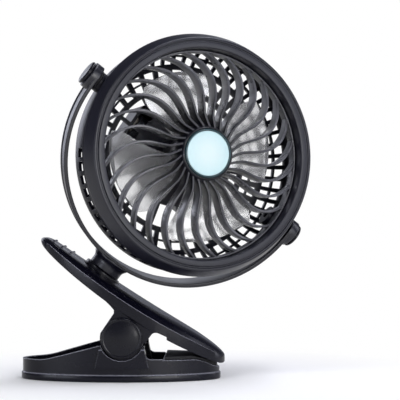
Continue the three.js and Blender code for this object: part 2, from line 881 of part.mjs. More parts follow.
// Centre line of the spring: lower leg, coil round the pin, upper leg.
function springLine() {
  const point = (angle, y, lead) =>
    new THREE.Vector3(
      spring.meanRadius * Math.cos(angle) - lead * Math.sin(angle),
      y,
      clip.pivotHeight + spring.meanRadius * Math.sin(angle) + lead * Math.cos(angle),
    );
  const sweep = legUpper - legLower + spring.turns * 2 * Math.PI;
  const steps = Math.round((sweep / (2 * Math.PI)) * facets.coil);
  const line = [point(legLower, -coilHalfWidth, -lowerLeg)];
  for (let i = 0; i <= steps; i += 1) {
    const share = i / steps;
    line.push(point(legLower + share * sweep, coilHalfWidth * (2 * share - 1), 0));
  }
  line.push(point(legUpper, coilHalfWidth, spring.upperLeg));
  return line;
}

// Tube of a few sides round a line of points.
function wireAlong(line, radius, sides) {
  const sections = line.map((point, i) => {
    const before = line[Math.max(0, i - 1)];
    const after = line[Math.min(line.length - 1, i + 1)];
    const forward = after.clone().sub(before).normalize();
    const across = new THREE.Vector3(0, 1, 0).addScaledVector(forward, -forward.y).normalize();
    const up = forward.clone().cross(across);
    const section = [];
    for (let k = 0; k < sides; k += 1) {
      const angle = (k / sides) * 2 * Math.PI;
      const corner = point.clone().addScaledVector(across, radius * Math.cos(angle));
      section.push(corner.addScaledVector(up, radius * Math.sin(angle)));
    }
    return section;
  });
  return loft(sections);
}

// Least distance between turns of the wire, less its own thickness.
function leastGap(line, thickness, skip) {
  let least = Infinity;
  for (let i = 0; i < line.length; i += 1) {
    for (let j = i + skip; j < line.length; j += 1) {
      least = Math.min(least, line[i].distanceTo(line[j]));
    }
  }
  return least - thickness;
}

function clipSpring() {
  const line = springLine();
  const mostOfATurn = (3 * facets.coil) / 4;
  const gap = leastGap(line.slice(1, -1), spring.wire, mostOfATurn);
  console.log(`clip_spring: least gap between turns ${gap.toFixed(2)} mm`);
  return wireAlong(line, wireRadius, facets.wire);
}

// Swivel neck: ring on the jaw, washer and screw under it, drawn along the neck's own axis

const neckShift = -tiltReach; // the neck frame's zero is the tilt centre

function swivelRing() {
  const from = neckShift + seatGap;
  return tube(neck.stemRadius + seatGap, neck.ringRadius, from, from + neck.ringHeight);
}

const washerTop = neckShift - neck.bossDepth - seatGap;
const washerBottom = washerTop - neck.washerThickness;

function swivelWasher() {
  return tube(screw.radius + seatGap, neck.washerRadius, washerBottom, washerTop);
}

// Cuts a driver slot into the underside of a screw's head, centred on x and y.
function slotted(body, headRadius, underside, [x, y] = [0, 0]) {
  const half = screw.slotWidth / 2;
  const length = [x - headRadius - overrun, x + headRadius + overrun];
  return cut(body, block(length, [y - half, y + half], [underside - overrun, underside + screw.slotDepth]));
}

function swivelScrew() {
  const headTop = washerBottom - seatGap;
  const underside = headTop - screw.headHeight;
  const shank = neckShift + stubBottom + neck.stubHeight / 2;
  const body = join(
    bar(screw.headRadius, underside, headTop, { steps: facets.small }),
    bar(screw.radius, headTop - seatGap, shank, { steps: facets.small }),
  );
  return slotted(body, screw.headRadius, underside);
}

// Yoke: half hoop with raised lips, a round eye at each end and a flared stub

// The strap's section swept down one side, round half a turn and up the other side to the tilt axis.
function yokeStrap() {
  const half = yoke.width / 2;
  const floor = yokeOuter - yoke.lip;
  const rise = half - yoke.lipWidth;
  const section = [
    [yokeInner, -half],
    [yokeOuter, -half],
    [yokeOuter, -rise],
    [floor, -rise + yoke.lip],
    [floor, rise - yoke.lip],
    [yokeOuter, rise],
    [yokeOuter, half],
    [yokeInner, half],
  ];
  const across = (angle, height) =>
    section.map(([radius, y]) => {
      const [out, down] = [radius * Math.cos(angle), radius * Math.sin(angle)];
      return new THREE.Vector3(out, y, height - down);
    });
  const sections = [across(0, 0)];
  for (let i = 0; i <= facets.yoke; i += 1) {
    sections.push(across((i / facets.yoke) * Math.PI, -yoke.drop));
  }
  sections.push(across(Math.PI, 0));
  return loft(sections);
}

const eyeEnd = yokeInner + yoke.eyeLength;

function yokeEye(side) {
  const profile = [
    [0, yokeInner],
    [yoke.eyeRadius, yokeInner],
    [yoke.eyeRadius, eyeEnd - yoke.eyeChamfer],
    [yoke.eyeRadius - yoke.eyeChamfer, eyeEnd],
    [0, eyeEnd],
  ];
  return turned(profile.map(([radius, height]) => [radius, height * side]), facets.round, { along: 'x' });
}

function yokeBody() {
  const reach = eyeEnd + overrun;
  const eyes = [-1, 1].map(yokeEye);
  const stubTop = -strapBottom + yoke.thickness / 2;
  const stubFoot = neckShift + stubBottom;
  const stub = turned(
    [
      [0, stubFoot],
      [neck.stubRadius, stubFoot],
      [neck.stubRadius, -strapBottom - neck.flare],
      [neck.stubRadius + neck.flare, -strapBottom],
      [neck.stubRadius + neck.flare, stubTop],
      [0, stubTop],
    ],
    facets.round,
  );
  const stemFoot = neckShift - neck.bossDepth;
  const stem = bar(neck.stemRadius, stemFoot, stubFoot + seatGap);
  const boreTop = stubFoot + neck.stubHeight / 2 + seatGap;
  const screwBore = bar(screw.radius + seatGap, stemFoot - overrun, boreTop, { steps: facets.small });
  const eyeBores = bar(screw.radius + seatGap, -reach, reach, { along: 'x', steps: facets.small });
  return cut(join(yokeStrap(), ...eyes, stub, stem), screwBore, eyeBores);
}

// Tilt joints: washer, screw and round cap on each side

const washerOuterX = yokeInner - seatGap;
const bossEndX = washerOuterX - boss.washer - seatGap;

function tiltWasher(side) {
  const [near, far] = [washerOuterX - boss.washer, washerOuterX].map((x) => x * side);
  return tube(screw.radius + seatGap, boss.washerRadius, Math.min(near, far), Math.max(near, far), {
    along: 'x',
    steps: facets.small,
  });
}

const knobFoot = eyeEnd + seatGap;
const screwEndX = eyeEnd - seatGap;
const screwTipX = bossInnerX + 2 * boss.washer;

function tiltScrew(side) {
  const [near, far] = [screwTipX * side, screwEndX * side];
  return bar(screw.radius, Math.min(near, far), Math.max(near, far), { along: 'x', steps: facets.small });
}

// Round cap over the eye: a groove at its foot, then a disc with a chamfer and a slight dome.
function tiltKnob(side) {
  const grooveEnd = knobFoot + knob.groove;
  const end = grooveEnd + knob.height;
  const grooveRadius = knob.radius - knob.grooveDepth;
  const profile = [
    [0, knobFoot],
    [grooveRadius, knobFoot],
    [grooveRadius, grooveEnd],
    [knob.radius, grooveEnd],
    [knob.radius, end - knob.chamfer],
    [knob.radius - knob.chamfer, end],
    [0, end + knob.chamfer / 3],
  ];
  return turned(profile.map(([radius, height]) => [radius, height * side]), facets.round, { along: 'x' });
}

// Head, drawn with +Z to the front and X along the tilt axis

function frontRing() {
  const lipTop = ring.face - ring.lipDrop;
  const grooveIn = grooveMiddle - ring.grooveWidth / 2;
  const grooveOut = grooveMiddle + ring.grooveWidth / 2;
  const channelIn = ringBore + ring.wall;
  const channelOut = ring.outerRadius - ring.wall - seatGap;
  const channelTop = ring.back + ring.channelDepth;
  const channelBend = ring.back + ring.channelDepth / 2;
  return hoop(
    [
      [ringBore, ring.back],
      [ringBore, ring.face - ring.edgeRound],
      [ringBore + ring.edgeRound, ring.face],
      [grooveIn, ring.face],
      [grooveIn, ring.face - ring.grooveDepth],
      [grooveOut, ring.face - ring.grooveDepth],
      [grooveOut, lipTop],
      [ringFront - ring.edgeRound, lipTop],
      [ringFront, lipTop - ring.edgeRound],
      [ring.outerRadius, ring.widest],
      [ring.outerRadius, ring.back],
      [channelOut, ring.back],
      [channelOut, channelBend],
      [channelOut - ring.wall, channelTop],
      [channelIn, channelTop],
      [channelIn, ring.back],
    ],
    facets.ring,
  );
}

const hoopOuter = ringBore - seatGap;
const hoopInner = hoopOuter - grille.hoopWidth;

// Turn of a vane at a radius: it leans off the hub, runs straight out and sweeps round at the rim.
function vaneTurn(radius) {
  const nearHub = Math.max(0, swirl.hubLeanEnd - radius) / (swirl.hubLeanEnd - grille.hubTopRadius);
  const nearRim = Math.max(0, radius - swirl.rimSweepStart) / (hoopOuter - swirl.rimSweepStart);
  return turn(swirl.rimSweep * nearRim ** swirl.power - swirl.hubLean * nearHub ** 2);
}

// One vane: a deep thin blade whose front edge domes forward and falls back to the hoop.
function vane(around) {
  const start = grille.hubTopRadius - seatGap / 2;
  const end = hoopInner + grille.hoopWidth / 2;
  const bend = start + (end - start) * grille.bendRadiusShare;
  const curve = (z0, z1, z2) =>
    new THREE.QuadraticBezierCurve(
      new THREE.Vector2(start, z0),
      new THREE.Vector2(bend, z1),
      new THREE.Vector2(end, z2),
    );
  const inside = grille.hoopWidth / 2;
  const front = curve(grille.frontStart, grille.frontRise, grille.hoopFront - inside);
  const back = curve(grille.backStart, grille.backRise, grille.hoopBack + inside);
  const place = (radius) => {
    const angle = around + vaneTurn(radius);
    return new THREE.Vector2(radius * Math.cos(angle), radius * Math.sin(angle));
  };
  const sections = [];
  for (let i = 0; i <= grille.vaneSteps; i += 1) {
    const share = i / grille.vaneSteps;
    const { x: radius, y: high } = front.getPoint(share);
    const low = back.getPoint(share).y;
    const at = place(radius);
    const forward = place(radius + seatGap).sub(place(radius - seatGap)).normalize();
    const side = new THREE.Vector2(-forward.y, forward.x).multiplyScalar(grille.vaneThickness / 2);
    sections.push([
      new THREE.Vector3(at.x - side.x, at.y - side.y, low),
      new THREE.Vector3(at.x - side.x, at.y - side.y, high),
      new THREE.Vector3(at.x + side.x, at.y + side.y, high),
      new THREE.Vector3(at.x + side.x, at.y + side.y, low),
    ]);
  }
  return loft(sections);
}

const badgeSeat = grille.hubFront - badge.recess;

function frontGrille() {
  const recessRadius = badge.radius + seatGap;
  const hub = turned(
    [
      [0, grille.hubBack],
      [grille.hubRadius - overrun, grille.hubBack],
      [grille.hubRadius, grille.hubBack + overrun],
      [grille.hubRadius - seatGap * 2, (grille.hubFront + grille.hubBack) / 2],
      [grille.hubTopRadius, grille.hubFront - seatGap * 2],
      [(grille.hubTopRadius + recessRadius) / 2, grille.hubFront],
      [recessRadius, grille.hubFront - seatGap],
      [recessRadius, badgeSeat],
      [0, badgeSeat],
    ],
    grille.vanes,
    { spin: Math.PI / grille.vanes },
  );
  const flangeTop = ring.back - seatGap;
  const flangeBottom = flangeTop - grille.flangeThickness;
  const rim = hoop(
    [
      [hoopInner, grille.hoopBack],
      [hoopOuter, grille.hoopBack],
      [hoopOuter, flangeBottom],
      [hoopOuter + grille.flangeWidth, flangeBottom],
      [hoopOuter + grille.flangeWidth, flangeTop],
      [hoopOuter, flangeTop],
      [hoopOuter, grille.hoopFront],
      [hoopInner, grille.hoopFront],
    ],
    facets.hoop,
    { spin: Math.PI / facets.hoop },
  );
  const vanes = [];
  for (let i = 0; i < grille.vanes; i += 1) {
    vanes.push(vane((i / grille.vanes) * 2 * Math.PI));
  }
  return join(hub, rim, ...vanes);
}

function badgeRim() {
  const from = badgeSeat + seatGap;
  return tube(badge.radius - badge.rimWidth, badge.radius, from, grille.hubFront + badge.proud);
}

function badgeDisc() {
  const from = badgeSeat + seatGap;
  const top = grille.hubFront + badge.proud - badge.dome;
  const radius = badge.radius - badge.rimWidth - seatGap;
  const crown = top + badge.dome;
  return turned([[0, from], [radius, from], [radius, top], [radius / 2, crown], [0, crown]], facets.round);
}

// Rear cage: barrel, dished back, slots, lattice, motor cup and the two tilt bosses

// Sector of a ring seen along the head's axis, for cutting one window.
function sector(inner, outer, middle, spread, from, to, barWidth = 0) {
  const corner = (radius, side) => {
    const angle = middle + side * (spread / 2 - barWidth / 2 / radius);
    return [radius * Math.cos(angle), radius * Math.sin(angle)];
  };
  return prism(shapeOf([corner(inner, -1), corner(outer, -1), corner(outer, 1), corner(inner, 1)]), from, to);
}

const ledgeTop = ring.back - 2 * seatGap - grille.flangeThickness;
const cageTop = ring.back - seatGap;
const plugRadius = ring.outerRadius - ring.wall - 2 * seatGap;
const plugTop = ring.back + ring.channelDepth / 2 - seatGap;

function cageShell() {
  const flangeFoot = cageTop - cage.flangeHeight;
  const plugInner = hoopOuter + grille.flangeWidth + 2 * seatGap;
  const inner = barrelRadius - cage.wall;
  const ledgeInner = hoopOuter + 4 * seatGap;
  return hoop(
    [
      [plugInner, plugTop],
      [plugRadius, plugTop],
      [plugRadius, cageTop],
      [flangeRadius, cageTop],
      [flangeRadius, flangeFoot],
      [barrelRadius, flangeFoot],
      [waistRadius, cage.waistHeight],
      [bellyRadius, cage.bellyHeight],
      [cornerRadius, cage.cornerHeight],
      [faceRadius, cage.faceHeight],
      [plateRadius, cage.back],
      [motor.wireHole, cage.back],
      [motor.wireHole, cage.back + cage.wall],
      [plateRadius, cage.back + cage.wall],
      [faceRadius - cage.wall / 2, cage.faceHeight + cage.wall],
      [cornerRadius - cage.wall, cage.cornerHeight + cage.wall / 2],
      [bellyRadius - cage.wall, cage.bellyHeight + cage.wall / 2],
      [waistRadius - cage.wall, cage.waistHeight],
      [inner, flangeFoot - cage.wall],
      [ledgeInner, ledgeTop - cage.wall / 2],
      [ledgeInner, ledgeTop],
      [plugInner, ledgeTop],
    ],
    facets.cage,
  );
}

function inSlotArc(angle) {
  return slotArcs.some(([from, to]) => angle > turn(from) && angle < turn(to));
}

function cageWindows() {
  const windows = [];
  const slotReach = [barrelRadius - slots.depth, barrelRadius + overrun];
  const slotPitch = (2 * Math.PI) / slots.count;
  for (let i = 0; i < slots.count; i += 1) {
    const middle = (i + 0.5) * slotPitch;
    if (!inSlotArc(middle)) continue;
    windows.push(sector(...slotReach, middle, slotPitch * slots.openShare, slots.bottom, slots.top));
  }
  const backDepth = [cage.back - overrun, cage.faceHeight + 2 * cage.wall];
  const latticePitch = (2 * Math.PI) / lattice.count;
  const latticeInner = plateRadius + lattice.innerEdge;
  const latticeOuter = faceRadius - lattice.outerEdge;
  const latticeMiddle = (latticeInner + latticeOuter) / 2;
  for (let i = 0; i < lattice.count; i += 1) {
    const middle = (i + 0.5) * latticePitch;
    const spread = latticePitch * lattice.openShare;
    windows.push(sector(latticeInner, latticeMiddle - lattice.rib / 2, middle, spread, ...backDepth));
    windows.push(sector(latticeMiddle + lattice.rib / 2, latticeOuter, middle, spread, ...backDepth));
  }
  const spokeOuter = plateRadius - spoke.outerEdge;
  const spokePitch = (2 * Math.PI) / spoke.count;
  for (let i = 0; i < spoke.count; i += 1) {
    const middle = (i + 0.5) * spokePitch;
    windows.push(sector(spoke.inner, spokeOuter, middle, spokePitch, ...backDepth, spoke.barWidth));
  }
  return windows;
}

const cupFloor = motor.back - motor.capHeight - 2 * seatGap;

function rearCage() {
  const cupInner = motor.radius + seatGap;
  const cupOuter = cupInner + motor.cupWall;
  const cup = hoop(
    [
      [motor.wireHole, cage.back + cage.wall / 2],
      [cupOuter, cage.back + cage.wall / 2],
      [cupOuter, motor.cupTop],
      [cupInner, motor.cupTop],
      [cupInner, cupFloor],
      [motor.wireHole, cupFloor],
    ],
    facets.round,
  );
  const bosses = [-1, 1].map((side) => {
    const [near, far] = [bossInnerX * side, bossEndX * side];
    return bar(boss.radius, Math.min(near, far), Math.max(near, far), { along: 'x', steps: facets.small });
  });
  const screwRoom = bar(screw.radius + seatGap, -yokeInner, yokeInner, { along: 'x', steps: facets.small });
  const inside = bar(screwTipX - seatGap, -boss.radius - overrun, boss.radius + overrun);
  const mountBores = [-1, 1].map((side) =>
    bar(post.screwRadius + seatGap, cage.back - overrun, cage.back + cage.wall + overrun, {
      at: [post.x * side, post.y, 0],
      steps: facets.small / 2,
    }),
  );
  const shell = cut(cageShell(), ...cageWindows());
  return cut(join(shell, cup, ...bosses), cut(screwRoom, inside), ...mountBores);
}

// Motor, shaft and impeller

function motorCan() {
  const bore = bar(motor.shaftRadius + seatGap, motor.back + motor.capHeight, motor.front + 2 * motor.nose, {
    steps: facets.small,
  });
  const can = turned(
    [
      [0, motor.back],
      [motor.radius, motor.back],
      [motor.radius, motor.front - motor.nose / 2],
      [motor.radius - motor.nose / 2, motor.front],
      [motor.noseRadius, motor.front],
      [motor.noseRadius, motor.front + motor.nose],
      [0, motor.front + motor.nose],
    ],
    facets.round,
  );
  return cut(can, bore);
}

function motorEndCap() {
  const top = motor.back - seatGap;
  return bar(motor.radius - seatGap, top - motor.capHeight, top);
}

const shaftEnd = blade.hubFront - 2 * blade.hubWall;

function motorShaft() {
  return bar(motor.shaftRadius, motor.back + motor.capHeight + seatGap, shaftEnd, { steps: facets.small });
}

// One blade: pitched and cambered, wider at its tip, from inside the hub's wall outwards.
function fanBlade(around) {
  const root = blade.hubRadius - blade.hubWall / 2;
  const sections = [];
  for (let i = 0; i <= blade.radialSteps; i += 1) {
    const out = i / blade.radialSteps;
    const tipRound = i === blade.radialSteps ? blade.tipShare : 1;
    const radius = root + (bladeTip - root) * out;
    const span = turn(blade.rootSpan + (blade.tipSpan - blade.rootSpan) * out) * tipRound;
    const rise = blade.rootRise + (blade.tipRise - blade.rootRise) * out;
    const middle = around - turn(blade.sweep) * out;
    const point = (share, lift) => {
      const angle = middle + (span / 2) * share;
      const bow = blade.camber * (1 - share ** 2);
      const height = blade.mid + rise * share - bow + lift;
      return new THREE.Vector3(radius * Math.cos(angle), radius * Math.sin(angle), height);
    };
    const section = [];
    for (let k = 0; k <= blade.chordSteps; k += 1) {
      section.push(point((2 * k) / blade.chordSteps - 1, -blade.thickness / 2));
    }
    for (let k = blade.chordSteps; k >= 0; k -= 1) {
      section.push(point((2 * k) / blade.chordSteps - 1, blade.thickness / 2));
    }
    sections.push(section);
  }
  return loft(sections);
}

function impeller() {
  const inner = blade.hubRadius - blade.hubWall;
  const stemRadius = motor.shaftRadius + seatGap + blade.hubWall;
  const shoulder = blade.hubFront - blade.hubWall;
  const hub = turned(
    [
      [0, shaftEnd + seatGap],
      [motor.shaftRadius + seatGap, shaftEnd + seatGap],
      [motor.shaftRadius + seatGap, blade.hubBack + blade.hubWall],
      [stemRadius, blade.hubBack + blade.hubWall],
      [stemRadius, shoulder - blade.hubWall],
      [inner, shoulder - 2 * blade.hubWall],
      [inner, blade.hubBack],
      [blade.hubRadius, blade.hubBack],
      [blade.hubRadius, shoulder - blade.hubWall],
      [blade.hubRadius - blade.hubWall, shoulder],
      [blade.hubRadius / 2, blade.hubFront - blade.hubWall / 4],
      [0, blade.hubFront],
    ],
    facets.round,
  );
  const blades = [];
  for (let i = 0; i < blade.count; i += 1) {
    blades.push(fanBlade((i / blade.count) * 2 * Math.PI + turn(blade.rootSpan)));
  }
  return join(hub, ...blades);
}

// Rear pack: housing, cell, contacts, sliding door, board, dial, inlet socket and lamp

const packHalfLength = pack.cellLength / 2 + pack.endRoom;
const doorHalfLength = packHalfLength - door.endInset;
const packDepth = 2 * pack.cellRadius + pack.frontRoom;
const packFront = cage.back - seatGap;
const packBack = packFront - packDepth;

function packPlan(inset) {
  const [left, right] = [-packHalfLength + inset, packHalfLength - inset];
  const [low, high] = [pack.bottom + inset, pack.top - inset];
  const round = pack.corner - inset;
  const centres = [
    [right - round, high - round, 0],
    [left + round, high - round, 1],
    [left + round, low + round, 2],
    [right - round, low + round, 3],
  ];
  const points = [];
  const steps = facets.small / 4;
  for (const [x, y, quarter] of centres) {
    for (let i = 0; i <= steps; i += 1) {
      const angle = (quarter + i / steps) * (Math.PI / 2);
      points.push([x + round * Math.cos(angle), y + round * Math.sin(angle)]);
    }
  }
  return shapeOf(points);
}

const doorTop = pack.cellY + door.halfHeight;
const doorFoot = pack.cellY - door.halfHeight;
const doorFront = packBack - seatGap;
const doorBack = doorFront - door.thickness;
const railBack = doorBack - seatGap - door.railLip;
const cellZ = packBack + pack.cellRadius + seatGap;

// The two rails that the door slides in: an upright and a lip over the door's edge.
function doorRails() {
  const length = [-doorHalfLength, doorHalfLength];
  const depth = [railBack, packBack + seatGap];
  const lipDepth = [railBack, railBack + door.railLip];
  const highRail = doorTop + seatGap;
  const lowRail = doorFoot - seatGap;
  return [
    block(length, [highRail, highRail + door.rail], depth),
    block(length, [highRail - door.rail, highRail + seatGap], lipDepth),
    block(length, [lowRail - door.rail, lowRail], depth),
    block(length, [lowRail - seatGap, lowRail + door.rail], lipDepth),
  ];
}

function packHousing() {
  const shell = cut(
    prism(packPlan(0), packBack, packFront),
    prism(packPlan(pack.wall), packBack + pack.wall, packFront + overrun),
  );
  const posts = [-1, 1].map((side) =>
    bar(post.radius, packBack + seatGap, packFront, { at: [post.x * side, post.y, 0], steps: facets.small }),
  );
  const bores = [-1, 1].map((side) => {
    const at = [post.x * side, post.y, 0];
    const shank = bar(post.screwRadius + seatGap, packBack - overrun, packFront + overrun, {
      at,
      steps: facets.small / 2,
    });
    const headDepth = packBack + post.headHeight + seatGap;
    const head = bar(post.headRadius + seatGap, packBack - overrun, headDepth, { at, steps: facets.small });
    return join(shank, head);
  });
  const roomLength = pack.cellLength / 2 + pack.cellNub;
  const roomHalf = pack.cellRadius + seatGap;
  const cellRoom = block(
    [-roomLength, roomLength],
    [pack.cellY - roomHalf, pack.cellY + roomHalf],
    [packBack - overrun, packBack + pack.wall + overrun],
  );
  const wallY = [pack.bottom - overrun, pack.bottom + pack.wall + overrun];
  const socketHalf = socket.width / 2 + seatGap;
  const socketRise = socket.height / 2 + seatGap;
  const socketHole = block(
    [socket.x - socketHalf, socket.x + socketHalf],
    wallY,
    [portZ - socketRise, portZ + socketRise],
  );
  const portHole = (radius, x) =>
    bar(radius + seatGap, ...wallY, { along: 'y', at: [x, 0, portZ], steps: facets.small });
  const lampHole = portHole(lamp.radius, lamp.x);
  const dialHole = portHole(dial.stemRadius, 0);
  return cut(join(shell, ...doorRails(), ...posts), ...bores, cellRoom, socketHole, lampHole, dialHole);
}

const portZ = (packFront + packBack) / 2;

function packScrew(side) {
  const underside = packBack + seatGap;
  const headTop = underside + post.headHeight;
  const tip = cage.back + cage.wall - seatGap;
  const at = [post.x * side, post.y, 0];
  const body = join(
    bar(post.headRadius, underside, headTop, { at, steps: facets.small }),
    bar(post.screwRadius, headTop - seatGap, tip, { at, steps: facets.small / 2 }),
  );
  return slotted(body, post.headRadius, underside, at);
}

function batteryCell() {
  const half = pack.cellLength / 2;
  const nubRadius = pack.cellRadius / 3;
  return turned(
    [
      [0, -half],
      [pack.cellRadius - seatGap, -half],
      [pack.cellRadius, -half + seatGap],
      [pack.cellRadius, half - pack.cellNub - seatGap],
      [pack.cellRadius - seatGap, half - pack.cellNub],
      [nubRadius, half - pack.cellNub],
      [nubRadius, half],
      [0, half],
    ],
    facets.round,
    { along: 'x', at: [0, pack.cellY, cellZ] },
  );
}

function batteryContact(side) {
  const near = pack.cellLength / 2 + seatGap;
  const x = [near * side, (near + pack.contactThickness) * side].sort((a, b) => a - b);
  const half = pack.contactSize / 2;
  return block(x, [pack.cellY - half, pack.cellY + half], [cellZ - half, cellZ + half]);
}

function batteryDoor() {
  const plate = block([-doorHalfLength, doorHalfLength], [doorFoot, doorTop], [doorBack, doorFront]);
  const ribs = [-1, 0, 1].map((step) => {
    const x = doorHalfLength / 2 + step * door.grip;
    const half = door.halfHeight / 2;
    const at = [x, pack.cellY, doorBack];
    return bar(door.railLip, -half, half, { along: 'y', at, steps: facets.small / 2 });
  });
  return join(plate, ...ribs);
}

function circuitBoard() {
  const y = [board.y - board.thickness, board.y];
  const z = [packBack + pack.wall + board.margin, packFront - board.margin];
  return block([-board.halfLength, board.halfLength], y, z);
}

const boardFace = board.y - board.thickness;

function speedSwitch() {
  const half = dial.potSize / 2;
  const y = [boardFace - seatGap - dial.potHeight, boardFace - seatGap];
  return block([-half, half], y, [portZ - half, portZ + half]);
}

// Outline of the dial's rim: shallow flutes all round.
function dialOutline() {
  const points = [];
  for (let i = 0; i < 2 * dial.ribs; i += 1) {
    const angle = (i / dial.ribs) * Math.PI;
    const radius = i % 2 ? dial.radius - dial.ribDepth : dial.radius;
    points.push([radius * Math.cos(angle), radius * Math.sin(angle)]);
  }
  return shapeOf(points);
}

function speedDial() {
  const top = pack.bottom - seatGap;
  const foot = top - dial.height;
  const stemTop = boardFace - 2 * seatGap - dial.potHeight;
  const at = [0, 0, portZ];
  const rim = new THREE.ExtrudeGeometry(dialOutline(), {
    depth: dial.height - dial.chamfer,
    bevelEnabled: false,
  });
  const wheel = placed(rim.translate(0, 0, foot + dial.chamfer), { along: 'y', at });
  const cap = bar(dial.radius - dial.chamfer, foot, foot + 2 * dial.chamfer, { along: 'y', at });
  const stem = bar(dial.stemRadius, top - seatGap, stemTop, { along: 'y', at, steps: facets.small });
  const half = dial.markWidth / 2;
  const mark = block([-half, half], [foot - overrun, foot + half], [portZ, portZ + dial.radius]);
  return cut(join(wheel, cap, stem), mark);
}

// Inlet socket: a thin shell open outwards, with the contact tongue standing in it.
function inletSocket() {
  const [halfX, halfZ] = [socket.width / 2, socket.height / 2];
  const y = [pack.bottom - seatGap, boardFace - seatGap];
  const outer = block([socket.x - halfX, socket.x + halfX], y, [portZ - halfZ, portZ + halfZ]);
  const [roomX, roomZ] = [halfX - socket.shell, halfZ - socket.shell];
  const room = block(
    [socket.x - roomX, socket.x + roomX],
    [pack.bottom - overrun, boardFace - seatGap - socket.floor],
    [portZ - roomZ, portZ + roomZ],
  );
  const tongueX = halfX - socket.tongueInset;
  const tongue = block(
    [socket.x - tongueX, socket.x + tongueX],
    [pack.bottom + socket.floor, boardFace - seatGap - socket.floor / 2],
    [portZ - socket.tongueHeight / 2, portZ + socket.tongueHeight / 2],
  );
  return join(cut(outer, room), tongue);
}

function indicatorLamp() {
  const at = [lamp.x, 0, portZ];
  const foot = boardFace - seatGap;
  const flange = pack.bottom + pack.wall + seatGap;
  return join(
    bar(lamp.radius, pack.bottom - seatGap, foot, { along: 'y', at, steps: facets.small }),
    bar(lamp.bodyRadius, flange, foot, { along: 'y', at, steps: facets.small }),
  );
}

// The whole fan

const clipGroup = new THREE.Group();
clipGroup.add(
  piece('lower_jaw', lowerJaw(), blackPlastic()),
  piece('lower_grip_pad', lowerPad(), rubber()),
  piece('upper_jaw', upperJaw(), blackPlastic()),
  piece('upper_grip_pad', upperPad(), rubber()),
  piece('pivot_pin', pivotPin(), steel()),
  piece('pivot_cap_near', pivotCap(-1), glossBlack()),
  piece('pivot_cap_far', pivotCap(1), glossBlack()),
  piece('clip_spring', clipSpring(), darkSteel()),
);

const headGroup = new THREE.Group();
headGroup.rotation.x = Math.PI / 2 + turn(pose.tilt);
headGroup.add(
  piece('front_ring', frontRing(), blackPlastic()),
  piece('front_grille', frontGrille(), blackPlastic()),
  piece('badge_rim', badgeRim(), deepTeal()),
  piece('badge_disc', badgeDisc(), paleCyan()),
  piece('rear_cage', rearCage(), blackPlastic()),
  piece('motor_can', motorCan(), steel()),
  piece('motor_end_cap', motorEndCap(), blackPlastic()),
  piece('motor_shaft', motorShaft(), steel()),
  piece('impeller', impeller(), smokeGrey()),
  piece('pack_housing', packHousing(), blackPlastic()),
  piece('pack_screw_left', packScrew(-1), darkSteel()),
  piece('pack_screw_right', packScrew(1), darkSteel()),
  piece('battery_cell', batteryCell(), cellWrap()),
  piece('battery_contact_left', batteryContact(-1), steel()),
  piece('battery_contact_right', batteryContact(1), steel()),
  piece('battery_door', batteryDoor(), blackPlastic()),
  piece('circuit_board', circuitBoard(), boardGreen()),
  piece('speed_switch', speedSwitch(), darkSteel()),
  piece('speed_dial', speedDial(), blackPlastic()),
  piece('inlet_socket', inletSocket(), steel()),
  piece('indicator_lamp', indicatorLamp(), paleCyan()),
);

const yokeGroup = new THREE.Group();
yokeGroup.rotation.z = turn(pose.swivel);
yokeGroup.add(
  piece('yoke', yokeBody(), blackPlastic()),
  piece('swivel_screw', swivelScrew(), steel()),
  piece('tilt_washer_left', tiltWasher(-1), rubber()),
  piece('tilt_washer_right', tiltWasher(1), rubber()),
  piece('tilt_screw_left', tiltScrew(-1), steel()),
  piece('tilt_screw_right', tiltScrew(1), steel()),
  piece('tilt_knob_left', tiltKnob(-1), glossBlack()),
  piece('tilt_knob_right', tiltKnob(1), glossBlack()),
  headGroup,
);

const neckGroup = new THREE.Group();
neckGroup.position.copy(tiltCentre);
neckGroup.rotation.y = neckLean;
neckGroup.add(
  piece('swivel_ring', swivelRing(), blackPlastic()),
  piece('swivel_washer', swivelWasher(), steel()),
  yokeGroup,
);

const fan = new THREE.Group();
fan.add(clipGroup, neckGroup);

export default fan;
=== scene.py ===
import json
import math

import bmesh
import bpy
from mathutils import Matrix, Vector


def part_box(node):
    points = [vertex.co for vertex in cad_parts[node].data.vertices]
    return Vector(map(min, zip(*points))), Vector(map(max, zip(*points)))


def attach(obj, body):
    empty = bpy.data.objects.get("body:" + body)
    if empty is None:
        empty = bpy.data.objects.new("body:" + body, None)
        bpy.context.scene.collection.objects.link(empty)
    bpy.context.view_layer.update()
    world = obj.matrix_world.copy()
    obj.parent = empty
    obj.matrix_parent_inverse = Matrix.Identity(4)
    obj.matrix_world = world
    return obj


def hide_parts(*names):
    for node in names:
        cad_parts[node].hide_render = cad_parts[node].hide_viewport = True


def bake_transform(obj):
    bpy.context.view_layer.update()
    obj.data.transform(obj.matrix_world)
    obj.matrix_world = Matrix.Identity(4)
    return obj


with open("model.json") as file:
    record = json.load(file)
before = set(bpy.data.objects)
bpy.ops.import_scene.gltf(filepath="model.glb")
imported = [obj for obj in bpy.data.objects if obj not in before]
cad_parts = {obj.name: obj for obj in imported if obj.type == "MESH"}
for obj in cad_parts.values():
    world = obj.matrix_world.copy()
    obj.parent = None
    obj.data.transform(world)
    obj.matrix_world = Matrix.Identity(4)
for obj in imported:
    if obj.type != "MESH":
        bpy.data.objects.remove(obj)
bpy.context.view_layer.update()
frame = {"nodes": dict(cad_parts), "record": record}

nodes = frame["nodes"]
behaviour = frame["record"]["behaviour"]
slots = {row["node"]: row["material_slot"] for row in frame["record"]["subparts"]}
bodies = {node: body for body, members in behaviour["bodies"].items() for node in members}
joints = {joint["name"]: joint for joint in behaviour["joints"]}
MM = 0.001


# Camera and picture

